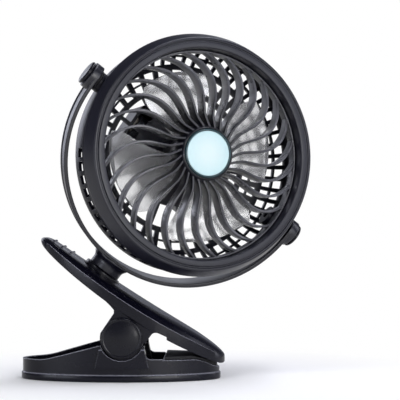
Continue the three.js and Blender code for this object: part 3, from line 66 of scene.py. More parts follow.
CAMERA_TARGET = Vector((45.8, 0, 107.87)) * MM
CAMERA_DISTANCE = 0.8
CAMERA_AZIMUTH = math.radians(0.75)
CAMERA_ELEVATION = math.radians(-1.09)
CAMERA_LENS = 118.1
CAMERA_CLIP = (0.05, 60)
SENSOR = 36


def add_camera():
    data = bpy.data.cameras.new("camera")
    data.lens = CAMERA_LENS
    data.sensor_width = SENSOR
    data.clip_start, data.clip_end = CAMERA_CLIP
    camera = bpy.data.objects.new("camera", data)
    back = Vector((
        math.sin(CAMERA_AZIMUTH) * math.cos(CAMERA_ELEVATION),
        -math.cos(CAMERA_AZIMUTH) * math.cos(CAMERA_ELEVATION),
        math.sin(CAMERA_ELEVATION),
    ))
    camera.location = CAMERA_TARGET + back * CAMERA_DISTANCE
    camera.rotation_mode = "QUATERNION"
    camera.rotation_quaternion = (-back).to_track_quat("-Z", "Y")
    bpy.context.scene.collection.objects.link(camera)
    bpy.context.scene.camera = camera


# Node helpers for the materials and the world

SOFT_EDGE = 0.0003
BLUNT = 0.75
FLAT = 0.985
NOISE_RANGE = (0.3, 0.7)


class Nodes:
    """A node tree, with short calls that add a node and wire its inputs."""

    def __init__(self, tree):
        self.tree = tree
        self.tree.nodes.clear()

    def put(self, socket, value):
        if isinstance(value, bpy.types.NodeSocket):
            self.tree.links.new(value, socket)
        elif isinstance(value, tuple) and len(value) == 3 and socket.type == "RGBA":
            socket.default_value = (*value, 1)
        else:
            socket.default_value = value

    def add(self, kind, inputs=(), **settings):
        node = self.tree.nodes.new(kind)
        for key, value in settings.items():
            setattr(node, key, value)
        for key, value in dict(inputs).items():
            self.put(node.inputs[key], value)
        return node

    def remap(self, value, low, high, to_low, to_high):
        values = {"Value": value, "From Min": low, "From Max": high, "To Min": to_low, "To Max": to_high}
        return self.add("ShaderNodeMapRange", values, clamp=True).outputs[0]

    def math(self, operation, first, second):
        return self.add("ShaderNodeMath", {0: first, 1: second}, operation=operation).outputs[0]

    def times(self, first, second):
        return self.math("MULTIPLY", first, second)

    def blend(self, share, first, second):
        """Mixes two shaders."""
        return self.add("ShaderNodeMixShader", {0: share, 1: first, 2: second}).outputs[0]


class Graph(Nodes):
    """A material's node tree, round one shader."""

    def __init__(self, name):
        self.material = bpy.data.materials.new(name)
        self.material.use_nodes = True
        super().__init__(self.material.node_tree)
        self.output = self.add("ShaderNodeOutputMaterial")
        self.shader = self.add("ShaderNodeBsdfPrincipled")
        self.put(self.output.inputs["Surface"], self.shader.outputs[0])
        self.place = self.add("ShaderNodeTexCoord").outputs["Object"]

    def shade(self, looks):
        """Sets or wires the shader's own sockets."""
        for name, value in looks.items():
            self.put(self.shader.inputs[name], value)

    def noise(self, scale, detail=3, roughness=0.5, stretch=None):
        place = self.place
        if stretch:
            place = self.add("ShaderNodeMapping", {"Vector": place, "Scale": stretch}).outputs[0]
        values = {"Vector": place, "Scale": scale, "Detail": detail, "Roughness": roughness}
        return self.add("ShaderNodeTexNoise", values).outputs["Fac"]

    def vary(self, noise, to_low, to_high, reach=NOISE_RANGE):
        """A value that goes from to_low to to_high as a noise crosses its reach."""
        return self.remap(noise, *reach, to_low, to_high)

    def mix(self, share, first, second):
        node = self.add("ShaderNodeMix", {"Factor": share}, data_type="RGBA")
        colours = [socket for socket in node.inputs if socket.type == "RGBA"]
        self.put(colours[0], first)
        self.put(colours[1], second)
        return [socket for socket in node.outputs if socket.type == "RGBA"][0]

    def distance(self, centre):
        values = {0: self.place, 1: centre}
        return self.add("ShaderNodeVectorMath", values, operation="DISTANCE").outputs["Value"]

    def edge(self, radius=SOFT_EDGE, blunt=BLUNT):
        """Rounded normal, and a mask that is 1 on sharp edges and 0 on flat faces."""
        rounded = self.add("ShaderNodeBevel", {"Radius": radius}, samples=6).outputs[0]
        flat = self.add("ShaderNodeNewGeometry").outputs["Normal"]
        values = {0: rounded, 1: flat}
        dot = self.add("ShaderNodeVectorMath", values, operation="DOT_PRODUCT").outputs["Value"]
        return rounded, self.remap(dot, blunt, FLAT, 1, 0)

    def bump(self, height, distance, normal, strength=1.0):
        values = {"Height": height, "Distance": distance, "Strength": strength, "Normal": normal}
        return self.add("ShaderNodeBump", values).outputs[0]


# Materials

FINE_GRAIN = 0.000008


def lighter(colour, gain, lift):
    return tuple(channel * gain + lift for channel in colour)


def moulded(name, colour, roughness, *, grain=1400, grain_depth=FINE_GRAIN, edge=0.00035, coat=0.0,
            specular=0.3, wear_and_highlight_share=0.35, wear_and_highlight_colour=None, blunt=BLUNT, highlight_top_edges_only=False):
    """Moulded plastic: faint colour drift, patchy gloss, a fine grain, and lighter edges that are partly
    wear and partly a painted highlight, on every edge or only on the edges that face up.
    """
    g = Graph(name)
    rounded, wear_and_highlight = g.edge(edge, blunt)
    if wear_and_highlight_colour is None:
        wear_and_highlight_colour = lighter(colour, 2, 0.008)
    # When set, only the edges that face up are lightened: a painted highlight from the light above.
    if highlight_top_edges_only:
        upwards = g.add("ShaderNodeSeparateXYZ", {"Vector": rounded}).outputs["Z"]
        wear_and_highlight = g.times(wear_and_highlight, g.remap(upwards, 0.12, 0.3, 0, 1))
    drift = g.vary(g.noise(28, 2), 0, 1, reach=(0.35, 0.65))
    base = g.mix(g.times(drift, 0.35), colour, lighter(colour, 1.5, 0.001))
    # Lighter edges: partly wear, partly a painted highlight.
    edged = g.mix(g.times(wear_and_highlight, wear_and_highlight_share), base, wear_and_highlight_colour)
    scuffs = g.vary(g.noise(420, 4, 0.7, stretch=(1, 1, 0.35)), 0, 0.08, reach=(0.6, 0.75))
    patches = g.vary(g.noise(55, 3), roughness - 0.05, roughness + 0.05)
    ripple = g.bump(g.noise(90, 1), grain_depth * 4, rounded, strength=0.4)
    g.shade({
        "Base Color": g.mix(scuffs, edged, lighter(colour, 3, 0.015)),
        "Roughness": g.math("ADD", patches, g.times(scuffs, 0.5)),
        "Normal": g.bump(g.noise(grain, 3, 0.6), grain_depth, ripple),
        "Coat Weight": coat,
        "Coat Roughness": 0.1,
        "Specular IOR Level": specular,
    })
    return g.material


def badge_centre():
    low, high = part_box("badge_disc")
    return tuple((low + high) / 2)


DUST_AND_SHEEN_START = 0.028
DUST_AND_SHEEN_FULL = 0.05


def vaned(name):
    """The grille's satin black, with a grey film that grows from the hub outwards, partly dust and partly a
    painted sheen.
    """
    g = Graph(name)
    rounded, wear_and_highlight = g.edge()
    # Grey film that grows outwards from the hub: partly dust, partly a painted sheen.
    dust_and_sheen = g.remap(g.distance(badge_centre()), DUST_AND_SHEEN_START, DUST_AND_SHEEN_FULL, 0, 1)
    cloud = g.vary(g.noise(160, 4, 0.6), 0.6, 1)
    base = g.mix(g.times(dust_and_sheen, cloud), (0.002, 0.002, 0.005), (0.1, 0.1, 0.112))
    g.shade({
        # Lighter vane edges: partly wear, partly a painted highlight.
        "Base Color": g.mix(g.times(wear_and_highlight, 0.5), base, (0.1, 0.1, 0.115)),
        "Roughness": g.vary(g.noise(70, 3), 0.24, 0.34),
        "Normal": g.bump(g.noise(1500, 3, 0.6), FINE_GRAIN, rounded),
        "Specular IOR Level": 0.5,
    })
    return g.material


def rubbery(name, colour):
    """Matt grip rubber with dust in its grain."""
    g = Graph(name)
    rounded, wear_and_highlight = g.edge()
    dust = g.vary(g.noise(260, 5, 0.7), 0, 0.35, reach=(0.5, 0.72))
    base = g.mix(dust, colour, lighter(colour, 3, 0.012))
    g.shade({
        # Lighter rubber edges: partly wear, partly a painted highlight.
        "Base Color": g.mix(g.times(wear_and_highlight, 0.4), base, (0.06, 0.06, 0.065)),
        "Roughness": g.vary(g.noise(120), 0.62, 0.82),
        "Normal": g.bump(g.noise(2600, 2), 0.00003, rounded),
        "Specular IOR Level": 0.3,
    })
    return g.material


def metallic(name, colour, roughness):
    """Brushed metal, a little stained and bright on its edges."""
    g = Graph(name)
    rounded, wear_and_highlight = g.edge(0.00025)
    streak = g.noise(900, 3, 0.6, stretch=(1, 1, 30))
    stained = g.mix(g.vary(g.noise(60, 3), 0, 0.4, reach=(0.4, 0.7)), colour, lighter(colour, 0.7, 0))
    g.shade({
        # Brighter metal edges: partly wear, partly a painted highlight.
        "Base Color": g.mix(g.times(wear_and_highlight, 0.5), stained, (0.8, 0.8, 0.82)),
        "Roughness": g.vary(streak, roughness - 0.08, roughness + 0.12, reach=(0.2, 0.8)),
        "Normal": g.bump(streak, 0.00001, rounded),
        "Metallic": 1,
    })
    return g.material


def frosted(name, colour, roughness, clear):
    """Glossy pearl-grey plastic that lets most light through, for the impeller."""
    g = Graph(name)
    rounded, wear_and_highlight = g.edge()
    drift = g.vary(g.noise(30, 2), 0, 1)
    base = g.mix(drift, colour, tuple(min(1, channel * 1.1) for channel in colour))
    flecks = g.vary(g.noise(2200, 2), 0, 0.2, reach=(0.62, 0.72))
    speckled = g.mix(flecks, base, (0.95, 0.95, 1.0))
    g.shade({
        # Lighter blade edges: partly wear, partly a painted highlight.
        "Base Color": g.mix(g.times(wear_and_highlight, 0.5), speckled, (0.8, 0.82, 0.86)),
        "Roughness": g.vary(g.noise(80), roughness - 0.03, roughness + 0.05),
        "Normal": g.bump(g.noise(60, 1), 0.00006, rounded, strength=0.5),
        "Transmission Weight": clear,
        "Coat Weight": 0.3,
        "Coat Roughness": 0.06,
    })
    return g.material


PALE_FROM = 0.004
PALE_TO = 0.0138


def pale_face(name):
    """The bare centre disc: pale cyan, a little deeper towards its rim, with a faint mottle."""
    g = Graph(name)
    rounded, wear_and_highlight = g.edge()
    outwards = g.remap(g.distance(badge_centre()), PALE_FROM, PALE_TO, 0, 1)
    base = g.mix(outwards, (0.52, 0.62, 0.61), (0.4, 0.56, 0.58))
    cloud = g.vary(g.noise(420, 3), 0, 0.35, reach=(0.4, 0.7))
    mottled = g.mix(cloud, base, (0.47, 0.63, 0.62))
    g.shade({
        # Lighter disc edges: partly wear, partly a painted highlight.
        "Base Color": g.mix(g.times(wear_and_highlight, 0.3), mottled, (0.58, 0.7, 0.72)),
        "Roughness": g.vary(g.noise(300), 0.3, 0.42),
        "Normal": g.bump(g.noise(1800, 2), 0.00001, rounded),
        "Coat Weight": 0.2,
    })
    return g.material


JAW_BLACK = (0.002, 0.002, 0.0055)
CAP_BLACK = (0.0025, 0.0025, 0.005)
HEAD_BLACK = (0.003, 0.003, 0.0075)
RING_BLACK = (0.005, 0.005, 0.01)
PACK_BLACK = (0.006, 0.006, 0.008)
# Gloss of the clip's plastic, and a light bluish colour on its upward-facing edges: a painted highlight.
CLIP_GLOSS_AND_PAINTED_HIGHLIGHT = {
    "specular": 0.2,
    "wear_and_highlight_share": 0.8,
    "wear_and_highlight_colour": (0.36, 0.36, 0.42),
    "blunt": 0.9,
    "highlight_top_edges_only": True,
}
made = {
    "jaw_plastic": moulded("jaw_black", JAW_BLACK, 0.26, coat=0.05, edge=0.0008, **CLIP_GLOSS_AND_PAINTED_HIGHLIGHT),
    "cap_plastic": moulded("cap_black", CAP_BLACK, 0.26, coat=0.1, **CLIP_GLOSS_AND_PAINTED_HIGHLIGHT),
    "yoke_plastic": moulded("yoke_black", HEAD_BLACK, 0.32, specular=0.5, edge=0.0005),
    "ring_plastic": moulded("ring_black", RING_BLACK, 0.36, specular=0.4),
    "grille_plastic": vaned("grille_black"),
    "cage_plastic": moulded("cage_black", HEAD_BLACK, 0.38),
    "pack_plastic": moulded("pack_black", PACK_BLACK, 0.42, grain=900, grain_depth=0.00003),
    "dial_plastic": moulded("dial_black", (0.009, 0.009, 0.011), 0.45),
    "motor_plastic": moulded("motor_cap_black", (0.02, 0.02, 0.022), 0.5),
    "grip_rubber": rubbery("grip_rubber", (0.008, 0.008, 0.009)),
    "steel": metallic("plated_steel", (0.62, 0.63, 0.65), 0.28),
    "motor_steel": metallic("motor_shell", (0.6, 0.61, 0.63), 0.3),
    "spring_steel": metallic("spring_steel", (0.2, 0.21, 0.23), 0.34),
    "switch_metal": metallic("switch_metal", (0.34, 0.35, 0.37), 0.36),
    "socket_metal": metallic("socket_metal", (0.62, 0.62, 0.64), 0.25),
    "contact_brass": metallic("contact_plate", (0.3, 0.28, 0.24), 0.34),
    "badge_rim": moulded("badge_rim_teal", (0.004, 0.028, 0.034), 0.22, coat=0.3),
    "badge_face": pale_face("badge_face"),
    "impeller_plastic": frosted("impeller_pearl", (0.98, 0.98, 1.0), 0.21, 0.82),
    "cell_wrap": moulded("cell_wrap", (0.022, 0.024, 0.03), 0.3, coat=0.3),
    "board": moulded("board_green", (0.012, 0.14, 0.05), 0.35, grain=500, grain_depth=0.00002),
    "lamp_lens": moulded("lamp_lens", (0.55, 0.68, 0.72), 0.2, coat=0.5),
}
SMOOTH_ANGLE = math.radians(32)


def dress_nodes():
    for name, node in nodes.items():
        node.data.materials.clear()
        node.data.materials.append(made[slots[name]])
        node.data.shade_smooth()
        node.data.set_sharp_from_angle(angle=SMOOTH_ANGLE)


# Mesh helpers, in millimetres until a piece is made

WELD = 0.0005
CORNER_SHARE = 0.48


def curve(first, middle, last, share):
    """Point or value on a curve that is pulled towards its middle one."""
    return first * (1 - share) ** 2 + middle * 2 * share * (1 - share) + last * share ** 2


def quarter(steps):
    """Cosines and sines at even steps of a quarter turn."""
    turns = [k / steps * math.pi / 2 for k in range(steps + 1)]
    return [(math.cos(turn), math.sin(turn)) for turn in turns]


def rod(radius, low, high):
    """Profile of a plain cylinder, for turning."""
    return [(0, low), (radius, low), (radius, high), (0, high)]


def soften(points, closed=True, steps=3):
    """Rounds the corners of an outline where a point carries a radius as its third value."""
    rounded = []
    count = len(points)
    for i, point in enumerate(points):
        here = Vector(point[:2])
        if not closed and i in (0, count - 1):
            rounded.append(tuple(here))
            continue
        before = Vector(points[i - 1][:2]) - here
        after = Vector(points[(i + 1) % count][:2]) - here
        reach = point[2] if len(point) > 2 else 0
        reach = min(reach, CORNER_SHARE * before.length, CORNER_SHARE * after.length)
        start = here + before.normalized() * reach
        end = here + after.normalized() * reach
        rounded.extend(tuple(curve(start, here, end, k / steps)) for k in range(steps + 1))
    return rounded


class Shell:
    """Points and faces of one piece, gathered form by form."""

    def __init__(self):
        self.points = []
        self.faces = []

    def skin(self, rows, loop=True, wrap=False):
        """Faces between rows of as many points. loop closes a row, wrap joins the last row to the first."""
        start = len(self.points)
        size = len(rows[0])
        for row in rows:
            self.points.extend(Vector(point) for point in row)
        spans = len(rows) if wrap else len(rows) - 1
        across = size if loop else size - 1
        for r in range(spans):
            low = start + r * size
            high = start + ((r + 1) % len(rows)) * size
            for k in range(across):
                turn = (k + 1) % size
                self.faces.append((low + k, low + turn, high + turn, high + k))
        if not wrap:
            last = start + (len(rows) - 1) * size
            self.faces.append(tuple(range(start + size - 1, start - 1, -1)))
            self.faces.append(tuple(range(last, last + size)))

    def turn(self, profile, steps, along="z", flip=1):
        """Turned form round an axis from (radius, height) points, closed on themselves or on the axis."""
        on_axis = profile[0][0] == 0 and profile[-1][0] == 0
        rows = []
        for i in range(steps):
            angle = i / steps * math.tau
            c, s = math.cos(angle), math.sin(angle)
            if along == "z":
                rows.append([(r * c, r * s, z * flip) for r, z in profile])
            elif along == "x":
                rows.append([(z * flip, r * c, r * s) for r, z in profile])
            else:
                rows.append([(r * s, z * flip, r * c) for r, z in profile])
        self.skin(rows, loop=not on_axis, wrap=True)


def gather(shells):
    whole = Shell()
    for shell in shells:
        start = len(whole.points)
        whole.points.extend(shell.points)
        whole.faces.extend(tuple(start + k for k in face) for face in shell.faces)
    return whole


def mesh_of(shell, matrix=None):
    """Welded mesh of a shell, still in millimetres, with its faces turned outwards."""
    mesh = bpy.data.meshes.new("form")
    points = shell.points if matrix is None else [matrix @ point for point in shell.points]
    mesh.from_pydata([tuple(point) for point in points], [], shell.faces)
    work = bmesh.new()
    work.from_mesh(mesh)
    bmesh.ops.remove_doubles(work, verts=work.verts, dist=WELD)
    bmesh.ops.recalc_face_normals(work, faces=work.faces)
    work.to_mesh(mesh)
    work.free()
    return mesh


def combine(base, steps):
    """Joins and cuts solids by Blender's exact boolean, in the order of steps."""
    scene = bpy.context.scene.collection
    thing = bpy.data.objects.new("work", base)
    scene.objects.link(thing)
    tools = []
    for operation, mesh in steps:
        tool = bpy.data.objects.new("tool", mesh)
        scene.objects.link(tool)
        tools.append(tool)
        modifier = thing.modifiers.new("step", "BOOLEAN")
        modifier.operation = operation
        modifier.object = tool
        modifier.solver = "EXACT"
    depsgraph = bpy.context.evaluated_depsgraph_get()
    result = bpy.data.meshes.new_from_object(thing.evaluated_get(depsgraph))
    for spare in [thing, *tools]:
        bpy.data.objects.remove(spare)
    return result


def add_piece(name, mesh, node, smooth=38, twist=None):
    """Makes a piece of a mesh in millimetres, which stands for a CAD node and rides on its body.

    With twist it rides on no body, its place baked into its mesh instead; what twist holds (two bodies'
    names, and the points where it starts and ends) is not read.
    """
    mesh.transform(Matrix.Scale(MM, 4))
    mesh.name = name
    mesh.shade_smooth()
    mesh.set_sharp_from_angle(angle=math.radians(smooth))
    mesh.materials.clear()
    mesh.materials.append(made[slots[node]])
    piece = bpy.data.objects.new(name, mesh)
    bpy.context.scene.collection.objects.link(piece)
    if twist is None:
        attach(piece, bodies[node])
    else:
        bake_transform(piece)
    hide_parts(node)


def axes(origin, x_axis, z_axis):
    """Matrix from a sub-part's own axes to the fan's."""
    z_axis = Vector(z_axis).normalized()
    x_axis = Vector(x_axis)
    x_axis = (x_axis - z_axis * x_axis.dot(z_axis)).normalized()
    matrix = Matrix((x_axis, z_axis.cross(x_axis), z_axis)).transposed().to_4x4()
    matrix.translation = Vector(origin)
    return matrix


tilt_centre = Vector(joints["head_tilt"]["pos_m"]) / MM
tilt_axis = joints["head_tilt"]["axis"]
neck_axis = joints["yoke_swivel"]["axis"]
HEAD = axes(tilt_centre, tilt_axis, joints["fan_spin"]["axis"])
YOKE = axes(tilt_centre, tilt_axis, neck_axis)
PIVOT_HEIGHT = joints["clip_open"]["pos_m"][2] / MM
PIVOT = Matrix.Translation((0, 0, PIVOT_HEIGHT))
GAP = 0.3


# Head: ring, grille, badge, impeller and cage, as (radius, height) along the fan's axis

RING_OUTER = 73.3
RING_BORE = 63.35
RING_FRONT = 21.6
RING_BACK = 11.4
GROOVE_FLOOR = 20.6
SKIN_INNER = 70.8
BORE_WALL = 65.6
HOLLOW_TOP = 18.3
RING_PROFILE = [
    (RING_BORE, RING_BACK, 0.2),
    (RING_BORE, RING_FRONT, 0.9),
    (67.1, RING_FRONT, 0.3),
    (67.3, GROOVE_FLOOR, 0.2),
    (68.1, GROOVE_FLOOR, 0.2),
    (68.3, 21.3, 0.3),
    (69.8, 21.2, 1.4),
    (RING_OUTER, 12.4, 0.5),
    (RING_OUTER, RING_BACK, 0.2),
    (SKIN_INNER, RING_BACK, 0.2),
    (SKIN_INNER, 14.9, 0.4),
    (68.6, HOLLOW_TOP, 0.6),
    (BORE_WALL, HOLLOW_TOP, 0.6),
    (BORE_WALL, RING_BACK, 0.2),
]


def front_ring():
    shell = Shell()
    shell.turn(soften(RING_PROFILE), steps=160)
    add_piece("ring_smooth", mesh_of(shell, HEAD), "front_ring")


VANES = 28
VANE_STATIONS = 20
VANE_HALF = 0.72
VANE_START = 15.75
VANE_END = 62.4
VANE_FRONT = (22.7, 25.4, 13.25)
VANE_BACK = (13.6, 14.2, 7.4)
VANE_BEND = 0.67
VANE_NUDGE = 0.3
SWEEP_START = 32
SWEEP_LENGTH = 31.05
SWEEP_TURN = 20
SWEEP_POWER = 2.2
LEAN_END = 25.5
LEAN_LENGTH = 9.6
LEAN_TURN = 11
HUB_FOOT = 13.1
HUB_SEAT = 22.4
HUB_PROFILE = [
    (0, HUB_FOOT),
    (16.6, HUB_FOOT, 1.2),
    (18.4, 15.1, 1),
    (17.9, 18.8, 1.6),
    (15.85, 24.0, 0.8),
    (15.3, 24.6, 0.3),
    (14.9, 24.3, 0.2),
    (14.9, HUB_SEAT, 0.1),
    (0, HUB_SEAT),
]
HOOP_OUTER = 63.0
HOOP_INNER = 61.95
HOOP_FOOT = 6.85
HOOP_TOP = 13.8
FLANGE_OUTER = 66.2
RIM_PROFILE = [
    (HOOP_INNER, HOOP_FOOT, 0.3),
    (HOOP_OUTER, HOOP_FOOT, 0.3),
    (HOOP_OUTER, 9.5, 0.1),
    (FLANGE_OUTER, 9.5, 0.2),
    (FLANGE_OUTER, 11.1, 0.2),
    (HOOP_OUTER, 11.1, 0.1),
    (HOOP_OUTER, HOOP_TOP, 0.4),
    (HOOP_INNER, HOOP_TOP, 0.4),
]


def vane_turn(radius):
    """Turn of a vane at a radius: it leans off the hub, runs straight out and sweeps round at the rim."""
    near_rim = max(0, radius - SWEEP_START) / SWEEP_LENGTH
    near_hub = max(0, LEAN_END - radius) / LEAN_LENGTH
    return math.radians(SWEEP_TURN * near_rim ** SWEEP_POWER - LEAN_TURN * near_hub ** 2)


def vane_rows(around):
    radii = (VANE_START, VANE_START + (VANE_END - VANE_START) * VANE_BEND, VANE_END)

    def place(radius):
        angle = around + vane_turn(radius)
        return Vector((radius * math.cos(angle), radius * math.sin(angle)))

    rows = []
    for i in range(VANE_STATIONS + 1):
        share = i / VANE_STATIONS
        radius = curve(*radii, share)
        high, low = curve(*VANE_FRONT, share), curve(*VANE_BACK, share)
        forward = (place(radius + VANE_NUDGE) - place(radius - VANE_NUDGE)).normalized()
        side = Vector((-forward.y, forward.x))
        at = place(radius)
        outline = soften([
            (-VANE_HALF, low, 0.3), (-VANE_HALF, high, 0.42), (VANE_HALF, high, 0.42), (VANE_HALF, low, 0.3),
        ])
        rows.append([(*(at + side * offset), height) for offset, height in outline])
    return rows


def front_grille():
    shell = Shell()
    shell.turn(soften(HUB_PROFILE, closed=False), steps=84)
    shell.turn(soften(RIM_PROFILE), steps=112)
    for i in range(VANES):
        shell.skin(vane_rows(i / VANES * math.tau))
    add_piece("grille_vanes", mesh_of(shell, HEAD), "front_grille")


BADGE_RADIUS = 14.56
BADGE_FOOT = 22.7
BADGE_TOP = 25.0
BADGE_RIM_WIDTH = 0.85
DOME_FOOT = 24.66
DOME_RISE = 0.32


def badge():
    rim = Shell()
    inner = BADGE_RADIUS - BADGE_RIM_WIDTH
    rim.turn(soften([
        (inner, BADGE_FOOT, 0.1), (BADGE_RADIUS, BADGE_FOOT, 0.1), (BADGE_RADIUS, BADGE_TOP, 0.35),
        (inner, BADGE_TOP, 0.2),
    ]), steps=96)
    add_piece("badge_rim_round", mesh_of(rim, HEAD), "badge_rim")
    disc = Shell()
    edge = inner - GAP
    dome = [(edge * c, DOME_FOOT + DOME_RISE * s) for c, s in quarter(8)]
    dome[-1] = (0, dome[-1][1])
    disc.turn([(0, BADGE_FOOT), (edge, BADGE_FOOT), *dome], steps=96)
    add_piece("badge_dome", mesh_of(disc, HEAD), "badge_disc")


BLADES = 4
BLADE_RADIAL = 18
BLADE_CHORD = 20
BLADE_ROOT = 11.6
BLADE_TIP = 52.3
BLADE_MID = 0.8
BLADE_RISE = (5.4, 6.8)
BLADE_SPAN = (60, 68)
BLADE_SWEEP = 12
BLADE_CAMBER = 1.2
BLADE_HALF = 0.68
BLADE_EDGE_SHARE = 0.35
BLADE_EDGE_GAIN = 4
TIP_ROUND_SHARE = 0.72
TIP_NARROWING = 0.16
TIP_POWER = 2.2
BLADE_HUB = [
    (0, 5.8),
    (1.5, 5.8, 0.2),
    (1.5, -4.5, 0.2),
    (3.2, -4.5, 0.2),
    (3.2, 4.0, 0.4),
    (10.8, 2.6, 0.8),
    (10.8, -6.2, 0.2),
    (12.45, -6.2, 0.3),
    (12.45, 4.3, 1.6),
    (10.6, 5.9, 1.2),
    (6.2, 7.1, 1.5),
    (0, 7.45),
]


def blade_rows(around):
    rows = []
    for i in range(BLADE_RADIAL + 1):
        out = i / BLADE_RADIAL
        past = max(0, out - TIP_ROUND_SHARE) / (1 - TIP_ROUND_SHARE)
        rounding = 1 - TIP_NARROWING * past ** TIP_POWER
        radius = BLADE_ROOT + (BLADE_TIP - BLADE_ROOT) * out
        span = math.radians(BLADE_SPAN[0] + (BLADE_SPAN[1] - BLADE_SPAN[0]) * out) * rounding
        rise = BLADE_RISE[0] + (BLADE_RISE[1] - BLADE_RISE[0]) * out
        middle = around - math.radians(BLADE_SWEEP) * out

        def point(share, lift):
            angle = middle + span / 2 * share
            height = BLADE_MID + rise * share - BLADE_CAMBER * (1 - share ** 2) + lift
            return (radius * math.cos(angle), radius * math.sin(angle), height)

        shares = [2 * k / BLADE_CHORD - 1 for k in range(BLADE_CHORD + 1)]
        lifts = [
            BLADE_HALF * min(1, BLADE_EDGE_SHARE + BLADE_EDGE_GAIN * (1 - abs(share))) for share in shares
        ]
        under = [point(share, -lift) for share, lift in zip(shares, lifts)]
        over = [point(share, lift) for share, lift in zip(shares, lifts)]
        rows.append(under + over[::-1])
    return rows


def impeller():
    shell = Shell()
    shell.turn(soften(BLADE_HUB, closed=False), steps=72)
    for i in range(BLADES):
        shell.skin(blade_rows(i / BLADES * math.tau + math.radians(BLADE_SPAN[0])))
    add_piece("impeller_smooth", mesh_of(shell, HEAD), "impeller", smooth=50)


CAGE_WALL = 2.2
BARREL_WALL = 1.2
COLLAR_TOP = 14.6
COLLAR_INNER = 66.8
COLLAR_OUTER = 70.5
CAGE_TOP = 11.1
CAGE_OUTER = 72.9
SHELF_INNER = 64.3
CAGE_FACE = 58.5
CAGE_PLATE = 45.6
CAGE_BACK = -30.5
CAGE_BARREL = [(72.0, 5.5), (71.75, 0.0), (71.5, -3.0)]
CAGE_DISH = [
    (71.25, -9.0), (70.8, -12.0), (69.4, -16.0), (67.9, -19.2), (65.6, -22.0), (62.5, -24.8),
    (CAGE_FACE, -27.5),
]
INNER_DISH = [
    (70.05, -9.0), (69.5, -12.0), (68.1, -15.6), (66.6, -18.5), (64.3, -21.1), (61.3, -23.7), (57.8, -25.9),
]
SLOTS = 56
SLOT_PITCH = math.tau / SLOTS
SLOT_OPEN = 0.7
SLOT_TOP = 4.6
SLOT_FOOT = -4.2
SLOT_REACH = (65, 75)
SLOT_ARCS = ((8, 172), (211, 329))
CORNER_WINDOWS = ((59.9, 64.3, -31, -19), (65.3, 69.0, -24, -12))
LATTICE = 36
LATTICE_OPEN = 0.66
LATTICE_BAR = 1.2
FACE_MARGIN = 1.7
BACK_REACH = (CAGE_BACK - 2, CAGE_BACK + 8)
SPOKES = 14
SPOKE_INNER = 29.5
SPOKE_OUTER = CAGE_PLATE - 2
SPOKE_BAR = 2.2
WIRE_HOLE = 3.0
CUP_OUTER = 14.1
CUP_INNER = 12.3
CUP_TOP = -16
CUP_FOOT = -29.4
CUP_FLOOR = -27.4
BOSS_BORE = 2.2
BOSS_RADIUS = 6.2
BOSS_START = 60.2
BOSS_END = 74.3


def in_slot_arc(angle):
    return any(math.radians(low) < angle < math.radians(high) for low, high in SLOT_ARCS)


def window(inner, outer, middle, spread, low, high, bar_width=0.0, steps=4):
    """Sector of a ring seen along the head's axis, for cutting one window of the cage."""
    shell = Shell()
    outline = []
    for radius, sides in ((inner, (-1, 1)), (outer, (1, -1))):
        half = spread / 2 - bar_width / 2 / radius
        for k in range(steps + 1):
            angle = middle + half * (sides[0] + (sides[1] - sides[0]) * k / steps)
            outline.append((radius * math.cos(angle), radius * math.sin(angle)))
    shell.skin([[(x, y, low) for x, y in outline], [(x, y, high) for x, y in outline]])
    return shell


def cage_windows():
    """Cutters for the barrel's slots, the back's windows, the corner's windows and the spokes' gaps."""
    windows = []
    slot_turns = [(i + 0.5) * SLOT_PITCH for i in range(SLOTS)]
    for middle in slot_turns:
        if in_slot_arc(middle):
            windows.append(window(*SLOT_REACH, middle, SLOT_PITCH * SLOT_OPEN, SLOT_FOOT, SLOT_TOP))
    pitch = math.tau / LATTICE
    inner, outer = CAGE_PLATE + LATTICE_BAR, CAGE_FACE - FACE_MARGIN
    halfway = (inner + outer) / 2
    rings = ((inner, halfway - LATTICE_BAR / 2), (halfway + LATTICE_BAR / 2, outer))
    for i in range(LATTICE):
        for near, far in rings:
            windows.append(window(near, far, (i + 0.5) * pitch, pitch * LATTICE_OPEN, *BACK_REACH))
    for middle in slot_turns:
        for near, far, low, high in CORNER_WINDOWS:
            windows.append(window(near, far, middle, SLOT_PITCH * LATTICE_OPEN, low, high))
    pitch = math.tau / SPOKES
    for i in range(SPOKES):
        turn = (i + 0.5) * pitch
        windows.append(window(SPOKE_INNER, SPOKE_OUTER, turn, pitch, *BACK_REACH, SPOKE_BAR, steps=8))
    return windows


